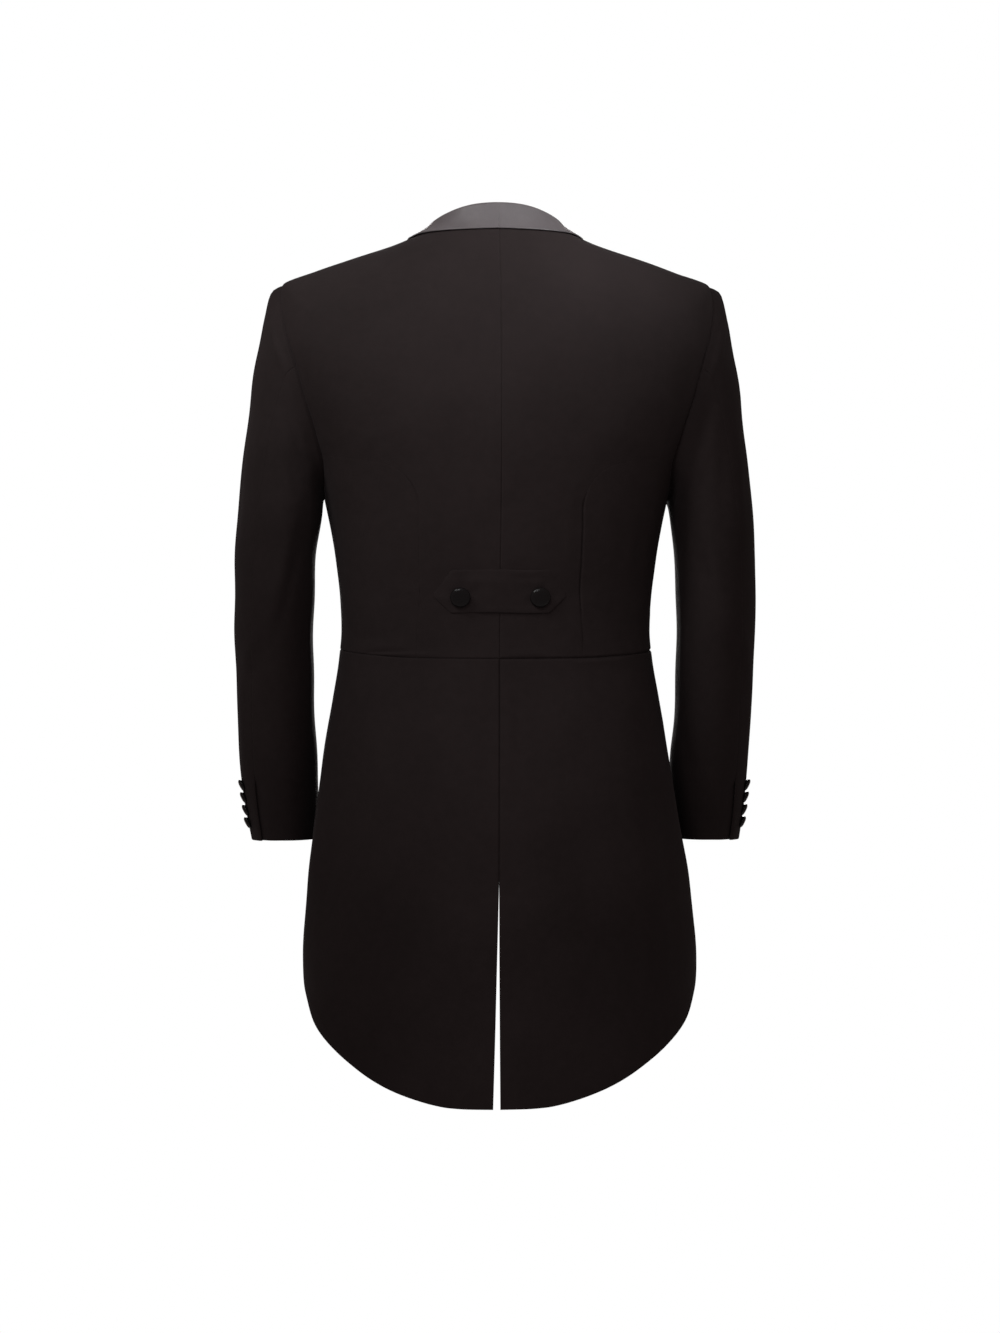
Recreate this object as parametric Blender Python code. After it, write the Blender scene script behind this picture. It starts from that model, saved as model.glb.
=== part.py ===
"""Cutaway tailcoat, filled out with no wearer: back, side and front panels, skirts with an open
centre vent, two-piece sleeves, satin shawl collar, half belt and satin-covered buttons.

Metres, +Z up. The coat faces -Y, the wearer's left is +X, and the origin is the centre of the
neck opening at the height of the back-neck seam.

The worn form is one surface, body(turn, level). The turn runs round the coat, 90 at the centre
back, 0 at the side and -90 at the centre front. The level is the height at the centre back, and
the rings lean over the shoulders. Each cloth piece is a region of it, given a wall inwards.
"""

import math

import bpy
import numpy as np

WALL = 0.0020  # cloth with its interlining
SEAM_GAP = 0.0004  # between neighbouring pieces
FALL_GAP = 0.0013  # between the collar and the cloth on either side of it
COLLAR_WALL = 0.0016
FRONT_LAP = 0.0017  # how far the left front stands out and the right front in, where they lap
BELT_GAP = 0.0007
BELT_WALL = 0.0024
BELT_TIP = 0.0735
BELT_CORNER = 0.0540
BELT_TOP = -0.3828
BELT_BOTTOM = -0.4302
BELT_POINT = -0.4105
BELT_BUTTON_X = 0.0436
BELT_BUTTON_Z = -0.4125
LARGE_BUTTON = (0.0112, 0.0055)  # radius, height
SMALL_BUTTON = (0.0067, 0.0036)
CUFF_BUTTON_RINGS = (-0.6205, -0.6345, -0.6490, -0.6632)
CUFF_BUTTON_ANGLE = 17.0
CUFF_BUTTON_TILT = 0.30
FRONT_BUTTON_LEVEL = -0.4320

# Rings of the worn form, from the neck down
RING_COLUMNS = ("level", "side_z", "front_z", "half_width", "back", "front", "fullness")
RINGS = (
    (0.0300, 0.0180, -0.0520, 0.0660, 0.052, 0.066, 0.02),
    (0.0060, -0.0030, -0.0700, 0.0780, 0.060, 0.072, 0.03),
    (-0.0160, -0.0135, -0.0880, 0.1025, 0.073, 0.085, 0.04),
    (-0.0340, -0.0202, -0.1020, 0.1204, 0.084, 0.095, 0.05),
    (-0.0700, -0.0336, -0.1300, 0.1622, 0.101, 0.110, 0.06),
    (-0.1050, -0.0470, -0.1550, 0.2024, 0.112, 0.120, 0.07),
    (-0.1350, -0.0580, -0.1760, 0.2372, 0.119, 0.127, 0.08),
    (-0.1680, -0.1050, -0.1980, 0.2460, 0.124, 0.132, 0.10),
    (-0.2000, -0.1650, -0.2180, 0.2370, 0.127, 0.137, 0.10),
    (-0.2350, -0.2250, -0.2420, 0.2190, 0.128, 0.141, 0.09),
    (-0.2720, -0.2720, -0.2720, 0.2000, 0.126, 0.143, 0.08),
    (-0.3248, -0.3248, -0.3248, 0.1870, 0.120, 0.142, 0.07),
    (-0.3696, -0.3696, -0.3696, 0.1792, 0.112, 0.139, 0.07),
    (-0.4144, -0.4144, -0.4144, 0.1740, 0.104, 0.135, 0.06),
    (-0.4480, -0.4480, -0.4480, 0.1725, 0.101, 0.133, 0.06),
    (-0.4816, -0.4816, -0.4816, 0.1754, 0.103, 0.133, 0.06),
    (-0.5264, -0.5264, -0.5264, 0.1830, 0.110, 0.136, 0.06),
    (-0.5712, -0.5712, -0.5712, 0.1912, 0.118, 0.139, 0.06),
    (-0.6160, -0.6160, -0.6160, 0.1980, 0.126, 0.142, 0.06),
    (-0.6830, -0.6830, -0.6830, 0.2076, 0.135, 0.146, 0.06),
    (-0.7280, -0.7280, -0.7280, 0.2130, 0.140, 0.148, 0.06),
    (-0.8120, -0.8120, -0.8120, 0.2184, 0.146, 0.150, 0.06),
    (-0.9000, -0.9000, -0.9000, 0.2190, 0.150, 0.150, 0.06),
    (-1.0000, -1.0000, -1.0000, 0.2190, 0.153, 0.150, 0.06),
)
RIDGE = 0.2  # how softly a ring bends over the shoulder line

# The armhole, once round from the shoulder tip by the back, with the angle round the sleeve
# that each point runs down to at the arm and at the cuff
ARMHOLE_COLUMNS = ("place", "turn", "level", "arm_angle", "cuff_angle")
ARMHOLE = (
    ("tip", 0.0, -0.1385, 0, 0),
    ("back_1", 11.5, -0.1495, 13, 9),
    ("back_2", 20.5, -0.1580, 27, 19),
    ("back_3", 27.0, -0.1700, 43, 32),
    ("hindarm", 30.3, -0.1860, 60, 47),
    ("back_5", 31.2, -0.2050, 78, 66),
    ("back_6", 29.8, -0.2280, 97, 88),
    ("side_body", 25.0, -0.2575, 118, 112),
    ("under_1", 19.5, -0.2740, 134, 131),
    ("under_2", 12.5, -0.2880, 152, 150),
    ("under_3", 3.5, -0.2980, 170, 169),
    ("side_seam", -8.0, -0.3020, 188, 188),
    ("under_5", -17.0, -0.2980, 203, 203),
    ("under_6", -25.0, -0.2870, 218, 218),
    ("forearm", -30.5, -0.2700, 233, 233),
    ("front_1", -33.0, -0.2480, 250, 250),
    ("front_2", -33.0, -0.2220, 267, 267),
    ("front_3", -31.0, -0.1970, 285, 285),
    ("front_4", -27.0, -0.1760, 304, 304),
    ("front_5", -20.0, -0.1590, 323, 323),
    ("front_6", -11.0, -0.1480, 342, 342),
)
PLACES = [row[0] for row in ARMHOLE]

# The seam between the back and the side body, down to the waist
SIDE_BODY_COLUMNS = ("turn", "level")
SIDE_BODY = (
    (25.0, -0.2575),
    (38.0, -0.2605),
    (49.0, -0.2645),
    (57.0, -0.2720),
    (61.0, -0.2870),
    (62.8, -0.3070),
    (62.2, -0.3350),
    (61.5, -0.3720),
    (61.1, -0.4050),
    (60.0, -0.4380),
    (59.8, -0.4780),
)
SIDE_SEAM_TURN = -8.0

# The fronts' edge: under the roll line down to the break, past the centre at the button, then
# swept back to the waist seam
FRONT_EDGE_COLUMNS = ("level", "turn")
FRONT_EDGE = (
    (-0.0040, -22.0),
    (-0.0120, -37.0),
    (-0.0220, -47.0),
    (-0.0380, -56.0),
    (-0.0580, -62.5),
    (-0.0820, -68.0),
    (-0.1080, -72.0),
    (-0.1380, -75.3),
    (-0.1760, -76.8),
    (-0.2190, -77.6),
    (-0.2910, -79.0),
    (-0.3500, -81.7),
    (-0.3850, -84.9),
    (-0.4020, -86.6),
    (-0.4120, -91.0),
    (-0.4220, -94.0),
    (-0.4350, -95.4),
    (-0.4500, -94.8),
    (-0.4680, -91.5),
)

WAIST_COLUMNS = ("turn", "level")
WAIST = (
    (-100.0, -0.4660),
    (-60.0, -0.4660),
    (-20.0, -0.4680),
    (15.0, -0.4715),
    (40.0, -0.4760),
    (60.0, -0.4795),
    (90.0, -0.4805),
)

HEM_COLUMNS = ("turn", "level")
HEM = (
    (-88.6, -0.4880),
    (-84.0, -0.5100),
    (-75.0, -0.5500),
    (-60.0, -0.6060),
    (-45.0, -0.6600),
    (-30.0, -0.7130),
    (-15.0, -0.7650),
    (0.0, -0.8160),
    (9.0, -0.8420),
    (17.4, -0.8592),
    (25.5, -0.8797),
    (34.7, -0.8998),
    (43.9, -0.9200),
    (53.4, -0.9401),
    (59.2, -0.9503),
    (63.6, -0.9566),
    (67.0, -0.9608),
    (71.5, -0.9655),
    (76.0, -0.9687),
    (82.0, -0.9702),
    (90.0, -0.9706),
)

# How far each tail's inner edge stands off the centre back below the vent's head
VENT_COLUMNS = ("level", "left", "right")
VENT = (
    (-0.7250, 0.0, 0.0),
    (-0.7450, 0.0003, 0.0003),
    (-0.7950, 0.0010, 0.0010),
    (-0.8800, 0.0024, 0.0022),
    (-0.9710, 0.0044, 0.0034),
)

# The coat hangs a little off true: how far each height sways sideways, and how far it turns
HANG_COLUMNS = ("z", "sway", "twist")
HANG = (
    (-1.0000, -0.0028, 0.066),
    (-0.7800, -0.0027, 0.054),
    (-0.6900, -0.0008, 0.034),
    (-0.6000, 0.0006, 0.018),
    (-0.4500, 0.0008, 0.006),
    (-0.2500, 0.0006, 0.000),
    (0.0500, 0.0006, 0.000),
)

# Rings of the sleeve, from the arm down: outer and inner edge, how far forward, and the lean
SLEEVE_COLUMNS = ("z", "outer", "inner", "middle_y", "half_depth", "lean")
SLEEVE = (
    (-0.3140, 0.2884, 0.1940, 0.002, 0.0675, 0.00),
    (-0.3700, 0.2914, 0.2009, 0.000, 0.0660, 0.00),
    (-0.4140, 0.2926, 0.2035, -0.003, 0.0640, 0.01),
    (-0.4600, 0.2918, 0.2038, -0.010, 0.0615, 0.02),
    (-0.5040, 0.2910, 0.2038, -0.020, 0.0590, 0.03),
    (-0.5490, 0.2884, 0.2021, -0.032, 0.0570, 0.05),
    (-0.5880, 0.2859, 0.1998, -0.043, 0.0550, 0.06),
    (-0.6160, 0.2832, 0.1990, -0.051, 0.0540, 0.06),
    (-0.6500, 0.2792, 0.2005, -0.061, 0.0530, 0.04),
    (-0.6820, 0.2748, 0.2030, -0.069, 0.0525, 0.02),
)
CAP_STEPS = (0.0, 0.05, 0.15, 0.32, 0.56, 0.80)
CAP_SWELL = 0.48
SLEEVE_STEPS = (-0.3140, -0.3700, -0.4300, -0.4900, -0.5490, -0.6000, -0.6400, -0.6820)

# The shawl collar from the centre back to the break: roll line, outer edge and how far the
# stand or facing runs back inside, as a share of the width
COLLAR_COLUMNS = ("roll_turn", "roll_level", "edge_turn", "edge_level", "inside")
COLLAR = (
    (90.0, 0.0232, 90.0, -0.0054, 1.00),
    (72.0, 0.0234, 72.0, -0.0058, 1.00),
    (57.0, 0.0230, 57.0, -0.0066, 1.00),
    (44.0, 0.0192, 44.0, -0.0068, 1.00),
    (30.0, 0.0148, 30.0, -0.0066, 1.00),
    (17.0, 0.0112, 17.0, -0.0062, 1.00),
    (6.0, 0.0090, 6.0, -0.0060, 1.00),
    (-1.0, 0.0070, -1.0, -0.0075, 1.00),
    (-8.0, 0.0055, -8.0, -0.0118, 1.00),
    (-17.0, 0.0035, -15.0, -0.0180, 1.00),
    (-27.0, 0.0020, -22.0, -0.0260, 0.95),
    (-37.0, -0.0040, -28.5, -0.0360, 0.85),
    (-46.5, -0.0110, -35.0, -0.0480, 0.75),
    (-58.0, -0.0310, -42.5, -0.0670, 0.60),
    (-66.0, -0.0560, -48.2, -0.0880, 0.50),
    (-73.0, -0.0930, -53.5, -0.1130, 0.45),
    (-77.5, -0.1310, -57.2, -0.1400, 0.45),
    (-79.0, -0.1750, -59.5, -0.1790, 0.45),
    (-79.8, -0.2190, -58.2, -0.2240, 0.45),
    (-80.4, -0.2580, -56.8, -0.2680, 0.45),
    (-81.2, -0.2910, -59.5, -0.3070, 0.45),
    (-83.3, -0.3350, -67.5, -0.3520, 0.50),
    (-86.0, -0.3740, -78.0, -0.3830, 0.60),
    (-88.0, -0.3990, -85.3, -0.3995, 0.80),
)
FOLD_STEPS = (36, 72, 108, 144)

BACK_COLUMNS = 6
BACK_LEVELS = (-0.0160, -0.0340, -0.0560, -0.0820, -0.1080)
FRONT_COLUMNS = 6
SIDE_COLUMNS = 4
FRONT_LEVELS_ABOVE = (-0.0120, -0.0220, -0.0380, -0.0580, -0.0820, -0.1080)
FRONT_LEVELS_BELOW = (-0.3300, -0.3650, -0.3850, -0.4020, -0.4120, -0.4220, -0.4350, -0.4500)
SKIRT_TURNS = (90, 84, 78, 72, 66, 60, 53, 46, 39, 32, 25, 18, 11, 4,
               -5, -14, -24, -35, -47, -59, -70, -80, -88.6)
SKIRT_STEPS = (0.0, 0.14, 0.30, 0.46, 0.62, 0.76, 0.88, 1.0)


def column(rows, names, name):
    return np.array([row[names.index(name)] for row in rows], float)


def slopes(x, y):
    """Slopes at the table's rows that keep the curve between them from overshooting."""
    h = np.diff(x)
    d = np.diff(y) / h
    m = np.zeros_like(y)
    m[0], m[-1] = d[0], d[-1]
    for i in range(1, len(x) - 1):
        if d[i - 1] * d[i] > 0:
            w1, w2 = 2 * h[i] + h[i - 1], h[i] + 2 * h[i - 1]
            m[i] = (w1 + w2) / (w1 / d[i - 1] + w2 / d[i])
    return m


def smooth_table(rows, names, key):
    """A function of the key column that returns each other column, as a dictionary."""
    order = np.argsort(column(rows, names, key))
    x = column(rows, names, key)[order]
    curves = {}
    for name in names:
        if name != key:
            y = column(rows, names, name)[order]
            curves[name] = (y, slopes(x, y))

    def at(name, q):
        y, m = curves[name]
        q = np.clip(np.asarray(q, float), x[0], x[-1])
        i = np.clip(np.searchsorted(x, q) - 1, 0, len(x) - 2)
        h = x[i + 1] - x[i]
        t = (q - x[i]) / h
        return (y[i] * (1 + 2 * t) * (1 - t) ** 2 + h * m[i] * t * (1 - t) ** 2
                + y[i + 1] * t * t * (3 - 2 * t) + h * m[i + 1] * t * t * (t - 1))

    return at


ring = smooth_table(RINGS, RING_COLUMNS, "level")
waist_level = smooth_table(WAIST, WAIST_COLUMNS, "turn")
hem_level = smooth_table(HEM, HEM_COLUMNS, "turn")
front_edge_turn = smooth_table(FRONT_EDGE, FRONT_EDGE_COLUMNS, "level")
sleeve_ring = smooth_table(SLEEVE, SLEEVE_COLUMNS, "z")
vent_shift = smooth_table(VENT, VENT_COLUMNS, "level")
hang = smooth_table(HANG, HANG_COLUMNS, "z")


def body(turn, level):
    """Points of the worn form."""
    turn, level = np.broadcast_arrays(np.asarray(turn, float), np.asarray(level, float))
    a, back, front = ring("half_width", level), ring("back", level), ring("front", level)
    side_z, front_z = ring("side_z", level), ring("front_z", level)
    s, c = np.sin(np.radians(turn)), np.cos(np.radians(turn))
    full = 1 + ring("fullness", level) * np.sin(2 * np.radians(turn)) ** 2
    bend = (np.sqrt(s * s + RIDGE ** 2) - RIDGE) / (math.sqrt(1 + RIDGE ** 2) - RIDGE)
    depth = (back + front) / 2 + (back - front) / 2 * s
    z = side_z + np.where(s > 0, level - side_z, front_z - side_z) * bend
    return np.stack([a * c * full, depth * s * full, z], -1)


def body_normal(turn, level):
    """Unit normals of the worn form, outwards."""
    along = body(np.asarray(turn) + 0.4, level) - body(np.asarray(turn) - 0.4, level)
    down = body(turn, np.asarray(level) - 0.0015) - body(turn, np.asarray(level) + 0.0015)
    n = np.cross(down, along)
    n /= np.linalg.norm(n, axis=-1, keepdims=True)
    return n


def on_body(turn, level, out):
    turn, level = np.broadcast_arrays(np.asarray(turn, float), np.asarray(level, float))
    out = np.broadcast_to(np.asarray(out, float), turn.shape)
    return body(turn, level) + body_normal(turn, level) * out[..., None]


def side_body_turn(level):
    t = column(SIDE_BODY, SIDE_BODY_COLUMNS, "turn")
    z = column(SIDE_BODY, SIDE_BODY_COLUMNS, "level")
    return np.interp(-np.asarray(level, float), -z, t)


def armhole(place):
    row = ARMHOLE[PLACES.index(place)]
    return row[1], row[2]


def places(first, last):
    """The armhole's rows from one place to another, going round by the back."""
    i, j = PLACES.index(first), PLACES.index(last)
    if j <= i:
        j += len(ARMHOLE)
    return [ARMHOLE[k % len(ARMHOLE)] for k in range(i, j + 1)]


def pull_in(grid, gap, left=True, right=True, top=True, bottom=True):
    """The grid with its border moved back along the cloth by half a seam gap."""
    out = grid.copy()
    pairs = []
    if left:
        pairs.append(((slice(None), 0), (slice(None), 1)))
    if right:
        pairs.append(((slice(None), -1), (slice(None), -2)))
    if top:
        pairs.append(((0, slice(None)), (1, slice(None))))
    if bottom:
        pairs.append(((-1, slice(None)), (-2, slice(None))))
    for edge, inner in pairs:
        step = grid[inner] - grid[edge]
        length = np.linalg.norm(step, axis=-1, keepdims=True)
        out[edge] = out[edge] + step / np.maximum(length, 1e-9) * gap / 2
    return out


def material(name, colour, roughness):
    made = bpy.data.materials.new(name)
    made.use_nodes = True
    shader = made.node_tree.nodes["Principled BSDF"]
    shader.inputs["Base Color"].default_value = (*colour, 1)
    shader.inputs["Roughness"].default_value = roughness
    return made


def add_object(name, points, faces, colour, roughness, mirror=False):
    points = np.array(points, float)
    faces = [tuple(f) for f in faces]
    if mirror:
        points[:, 0] *= -1
    points[:, 0] += hang("sway", points[:, 2]) + hang("twist", points[:, 2]) * points[:, 1]
    volume = 0.0
    for f in faces:
        for k in range(1, len(f) - 1):
            volume += np.dot(points[f[0]], np.cross(points[f[k]], points[f[k + 1]]))
    if volume < 0:
        faces = [f[::-1] for f in faces]
    mesh = bpy.data.meshes.new(name)
    mesh.from_pydata([tuple(p) for p in points], [], faces)
    mesh.validate()
    mesh.materials.append(material(name, colour, roughness))
    made = bpy.data.objects.new(name, mesh)
    bpy.context.scene.collection.objects.link(made)
    return made


WOOL = ((0.020, 0.017, 0.018), 0.85)
SATIN = ((0.110, 0.095, 0.100), 0.40)


def add_wall(name, outer, inner, cloth, mirror=False):
    """A closed wall between two grids of points."""
    n, m = outer.shape[:2]
    points = np.concatenate([outer.reshape(-1, 3), inner.reshape(-1, 3)])
    at = lambda i, j, layer: layer * n * m + i * m + j
    faces = []
    for i in range(n - 1):
        for j in range(m - 1):
            faces.append((at(i, j, 0), at(i, j + 1, 0), at(i + 1, j + 1, 0), at(i + 1, j, 0)))
            faces.append((at(i, j, 1), at(i + 1, j, 1), at(i + 1, j + 1, 1), at(i, j + 1, 1)))
    for j in range(m - 1):
        faces.append((at(0, j, 0), at(0, j, 1), at(0, j + 1, 1), at(0, j + 1, 0)))
        faces.append((at(n - 1, j, 0), at(n - 1, j + 1, 0), at(n - 1, j + 1, 1), at(n - 1, j, 1)))
    for i in range(n - 1):
        faces.append((at(i, 0, 0), at(i + 1, 0, 0), at(i + 1, 0, 1), at(i, 0, 1)))
        faces.append((at(i, m - 1, 0), at(i, m - 1, 1), at(i + 1, m - 1, 1), at(i + 1, m - 1, 0)))
    # Quads on curved cloth aren't flat, so each is cut in two here
    cut = []
    for a, b, c, d in faces:
        cut += [(a, b, c), (a, c, d)]
    return add_object(name, points, cut, *cloth, mirror=mirror)


def panel(name, turns, levels, cloth, mirror=False, out=0.0, gap=SEAM_GAP, shift=None):
    """A wall of cloth over a grid of turns and levels."""
    outer = on_body(turns, levels, out)
    inner = on_body(turns, levels, np.asarray(out) - WALL)
    if shift is not None:
        outer[..., 0] += shift
        inner[..., 0] += shift
    return add_wall(name, pull_in(outer, gap), pull_in(inner, gap), cloth, mirror)


def spread(start, end, count):
    return np.linspace(start, end, count + 1)


def neck_level(turn):
    return np.interp(turn, (0.0, 45.0, 90.0), (-0.0040, 0.0015, 0.0030))


def back_grid():
    rows = []
    top = spread(90.0, 0.0, BACK_COLUMNS)
    rows.append([(t, float(neck_level(t))) for t in top])
    for level in BACK_LEVELS:
        rows.append([(t, level) for t in spread(90.0, 0.0, BACK_COLUMNS)])
    for row in places("tip", "side_body")[:-1]:
        rows.append([(t, row[2]) for t in spread(90.0, row[1], BACK_COLUMNS)])
    for turn, level in SIDE_BODY[:-1]:
        rows.append([(t, level) for t in spread(90.0, turn, BACK_COLUMNS)])
    rows.append([(t, float(waist_level("level", t)))
                 for t in spread(90.0, SIDE_BODY[-1][0], BACK_COLUMNS)])
    grid = np.array(rows)
    return grid[..., 0], grid[..., 1]


def side_grid():
    """A patch between the side-body seam, the side seam, the armhole and the waist."""
    loop = places("side_body", "side_seam")
    top = np.array([(row[1], row[2]) for row in loop], float)
    seam = [tuple(row) for row in SIDE_BODY]
    seam[-1] = (seam[-1][0], float(waist_level("level", seam[-1][0])))
    left = np.array(seam, float)
    n, m = len(left), len(top)
    low = float(waist_level("level", SIDE_SEAM_TURN))
    share = np.linspace(0, 1, n)
    right = np.stack([np.full(n, SIDE_SEAM_TURN), top[-1, 1] + share * (low - top[-1, 1])], -1)
    across = np.linspace(0, 1, m)
    turns = left[-1, 0] + across * (SIDE_SEAM_TURN - left[-1, 0])
    bottom = np.stack([turns, waist_level("level", turns)], -1)
    u, v = across[None, :, None], share[:, None, None]
    grid = ((1 - v) * top[None] + v * bottom[None] + (1 - u) * left[:, None] + u * right[:, None]
            - (1 - u) * (1 - v) * top[0] - u * (1 - v) * top[-1]
            - (1 - u) * v * bottom[0] - u * v * bottom[-1])
    return grid[..., 0], grid[..., 1]


def front_grid():
    rows = []

    def row_between(outer_turn, level):
        edge = float(front_edge_turn("turn", level))
        rows.append([(t, level) for t in spread(outer_turn, edge, FRONT_COLUMNS)])

    top = spread(0.0, FRONT_EDGE[0][1], FRONT_COLUMNS)
    rows.append([(t, FRONT_EDGE[0][0]) for t in top])
    for level in FRONT_LEVELS_ABOVE:
        row_between(0.0, level)
    row_between(0.0, armhole("tip")[1])
    for row in places("side_seam", "front_6")[::-1]:
        row_between(row[1], row[2])
    for level in FRONT_LEVELS_BELOW:
        row_between(SIDE_SEAM_TURN, level)
    rows.append([(t, float(waist_level("level", t)))
                 for t in spread(SIDE_SEAM_TURN, FRONT_EDGE[-1][1], FRONT_COLUMNS)])
    grid = np.array(rows)
    return grid[..., 0], grid[..., 1]


def lap(turns, levels, sign):
    """How far a front stands out or in near the centre, so that the left laps over the right."""
    near = np.clip((-turns - 68.0) / 14.0, 0, 1)
    low = np.clip((-levels - 0.392) / 0.022, 0, 1)
    return sign * FRONT_LAP * near * near * (3 - 2 * near) * low * low * (3 - 2 * low)


def skirt_grid():
    turns = np.array(SKIRT_TURNS, float)
    top, hem = waist_level("level", turns) - SEAM_GAP, hem_level("level", turns)
    steps = np.array(SKIRT_STEPS)
    levels = top[None] + steps[:, None] * (hem - top)[None]
    return np.broadcast_to(turns, levels.shape), levels


def sleeve_point(angle, z):
    """A point on the arm below the cap, by its angle from the outer side and its ring."""
    outer, inner = sleeve_ring("outer", z), sleeve_ring("inner", z)
    middle, half = sleeve_ring("middle_y", z), sleeve_ring("half_depth", z)
    c, s = np.cos(np.radians(angle)), np.sin(np.radians(angle))
    y = middle + half * s
    return np.stack([(outer + inner) / 2 + (outer - inner) / 2 * c, y,
                     z - sleeve_ring("lean", z) * half * s], -1)


def sleeve_angle(row, z):
    share = (SLEEVE[0][0] - z) / (SLEEVE[0][0] - SLEEVE[-1][0])
    arm, cuff = row[3], row[4]
    return arm + (cuff - arm) * share


def sleeve_grid(first, last):
    """Outer and inner points of a sleeve piece between two lines down the arm."""
    loop = places(first, last)
    turned = PLACES.index(last) <= PLACES.index(first)
    columns_out, columns_in = [], []
    for row in loop:
        extra = 0
        hole = on_body(row[1], row[2], 0.0)
        hole_in = on_body(row[1], row[2], -WALL)
        arm = sleeve_point(row[3] + extra, SLEEVE[0][0])
        line, tube = [], []
        for step in CAP_STEPS:
            swell = step ** CAP_SWELL if step else 0.0
            point = hole + (arm - hole) * swell
            point[2] = hole[2] + (arm[2] - hole[2]) * step
            line.append(point)
        for z in SLEEVE_STEPS:
            line.append(sleeve_point(sleeve_angle(row, z), z))
        columns_out.append(line)
        tube.append(hole_in)
        columns_in.append(tube)
    outer = np.array(columns_out).transpose(1, 0, 2)
    return outer, np.array(columns_in)[:, 0], turned


def sleeve_normals():
    """Normals all round the sleeve, from the whole loop's points."""
    outer, _, _ = sleeve_grid(PLACES[0], PLACES[-1])
    round_it = np.roll(outer, -1, 1) - np.roll(outer, 1, 1)
    down = np.gradient(outer, axis=0)
    n = np.cross(round_it, down)
    n /= np.maximum(np.linalg.norm(n, axis=-1, keepdims=True), 1e-12)
    centre = outer.mean(axis=1, keepdims=True)
    flip = np.sign(((outer - centre) * n).sum(-1, keepdims=True))
    return outer, n * flip


def sleeve(name, first, last, mirror):
    whole, normals = sleeve_normals()
    i, j = PLACES.index(first), PLACES.index(last)
    if j <= i:
        j += len(PLACES)
    keep = [k % len(PLACES) for k in range(i, j + 1)]
    outer = whole[:, keep].copy()
    n = normals[:, keep]
    inner = outer - n * WALL
    hole_in = np.array([on_body(ARMHOLE[k][1], ARMHOLE[k][2], -WALL) for k in keep])
    hole_n = np.array([body_normal(ARMHOLE[k][1], ARMHOLE[k][2]) for k in keep])
    inner[0] = hole_in
    # The first ring stands off the armhole, along the body's surface and away from the panels
    tangent = np.array([body(*armhole_next(k, 1)) - body(*armhole_next(k, -1)) for k in keep])
    away = np.cross(tangent, hole_n)
    away /= np.linalg.norm(away, axis=-1, keepdims=True)
    middle = whole[0].mean(axis=0)
    away *= np.sign(((middle - outer[0]) * away).sum(-1, keepdims=True))
    outer[0] += away * SEAM_GAP
    inner[0] += away * SEAM_GAP
    for grid in (outer, inner):
        grid[:] = pull_in(grid, SEAM_GAP, top=False, bottom=False)
    return add_wall(name, outer, inner, WOOL, mirror)


def armhole_next(k, step):
    row = ARMHOLE[(k + step) % len(ARMHOLE)]
    return row[1], row[2]


def collar(name, mirror):
    """A folded wall: the fall or lapel outside, the roll, then the stand or facing inside."""
    rows_out, rows_in = [], []
    high, low = FALL_GAP + COLLAR_WALL, -WALL - FALL_GAP - COLLAR_WALL
    middle, radius = (high + low) / 2, (high - low) / 2
    for row in COLLAR:
        roll_turn, roll_level, edge_turn, edge_level, inside = row
        shares = (1.0, 0.75, 0.5, 0.25, 0.0)
        turns = np.array([roll_turn + s * (edge_turn - roll_turn) for s in shares])
        levels = np.array([roll_level + s * (edge_level - roll_level) for s in shares])
        out = list(on_body(turns, levels, high))
        inn = list(on_body(turns, levels, FALL_GAP))
        roll = on_body(roll_turn, roll_level, 0.0)
        n = body_normal(roll_turn, roll_level)
        towards = roll - on_body(roll_turn + 0.1 * (edge_turn - roll_turn),
                                 roll_level + 0.1 * (edge_level - roll_level), 0.0)
        towards -= n * np.dot(towards, n)
        towards /= np.linalg.norm(towards)
        for angle in FOLD_STEPS:
            c, s = math.cos(math.radians(angle)), math.sin(math.radians(angle))
            out.append(roll + n * (middle + radius * c) + towards * radius * s)
            inner_radius = radius - COLLAR_WALL
            inn.append(roll + n * (middle + inner_radius * c) + towards * inner_radius * s)
        shares = (0.0, 0.5 * inside, inside)
        turns = np.array([roll_turn + s * (edge_turn - roll_turn) for s in shares])
        levels = np.array([roll_level + s * (edge_level - roll_level) for s in shares])
        out += list(on_body(turns, levels, low))
        inn += list(on_body(turns, levels, -WALL - FALL_GAP))
        rows_out.append(out)
        rows_in.append(inn)
    outer, inner = np.array(rows_out), np.array(rows_in)
    outer = pull_in(outer, SEAM_GAP, left=False, right=False, bottom=False)
    inner = pull_in(inner, SEAM_GAP, left=False, right=False, bottom=False)
    return add_wall(name, outer, inner, SATIN, mirror)


def turn_at(x, level):
    """The turn on the back where the worn form is this far from the centre."""
    low, high = 20.0, 160.0
    for _ in range(50):
        half = (low + high) / 2
        if body(half, level)[0] > x:
            low = half
        else:
            high = half
    return (low + high) / 2


def belt():
    xs = (-BELT_TIP, -0.064, -BELT_CORNER, -0.036, -0.018, 0.0, 0.018, 0.036, BELT_CORNER, 0.064, BELT_TIP)
    turns, levels = [], []
    for x in xs:
        past = max(0.0, abs(x) - BELT_CORNER) / (BELT_TIP - BELT_CORNER)
        top = BELT_TOP + (BELT_POINT + 0.0012 - BELT_TOP) * past
        bottom = BELT_BOTTOM + (BELT_POINT - 0.0012 - BELT_BOTTOM) * past
        column_levels = np.linspace(top, bottom, 4)
        turns.append([turn_at(x, level) for level in column_levels])
        levels.append(column_levels)
    turns, levels = np.array(turns), np.array(levels)
    add_wall("back_belt", on_body(turns, levels, BELT_GAP + BELT_WALL),
             on_body(turns, levels, BELT_GAP), WOOL)


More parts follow.
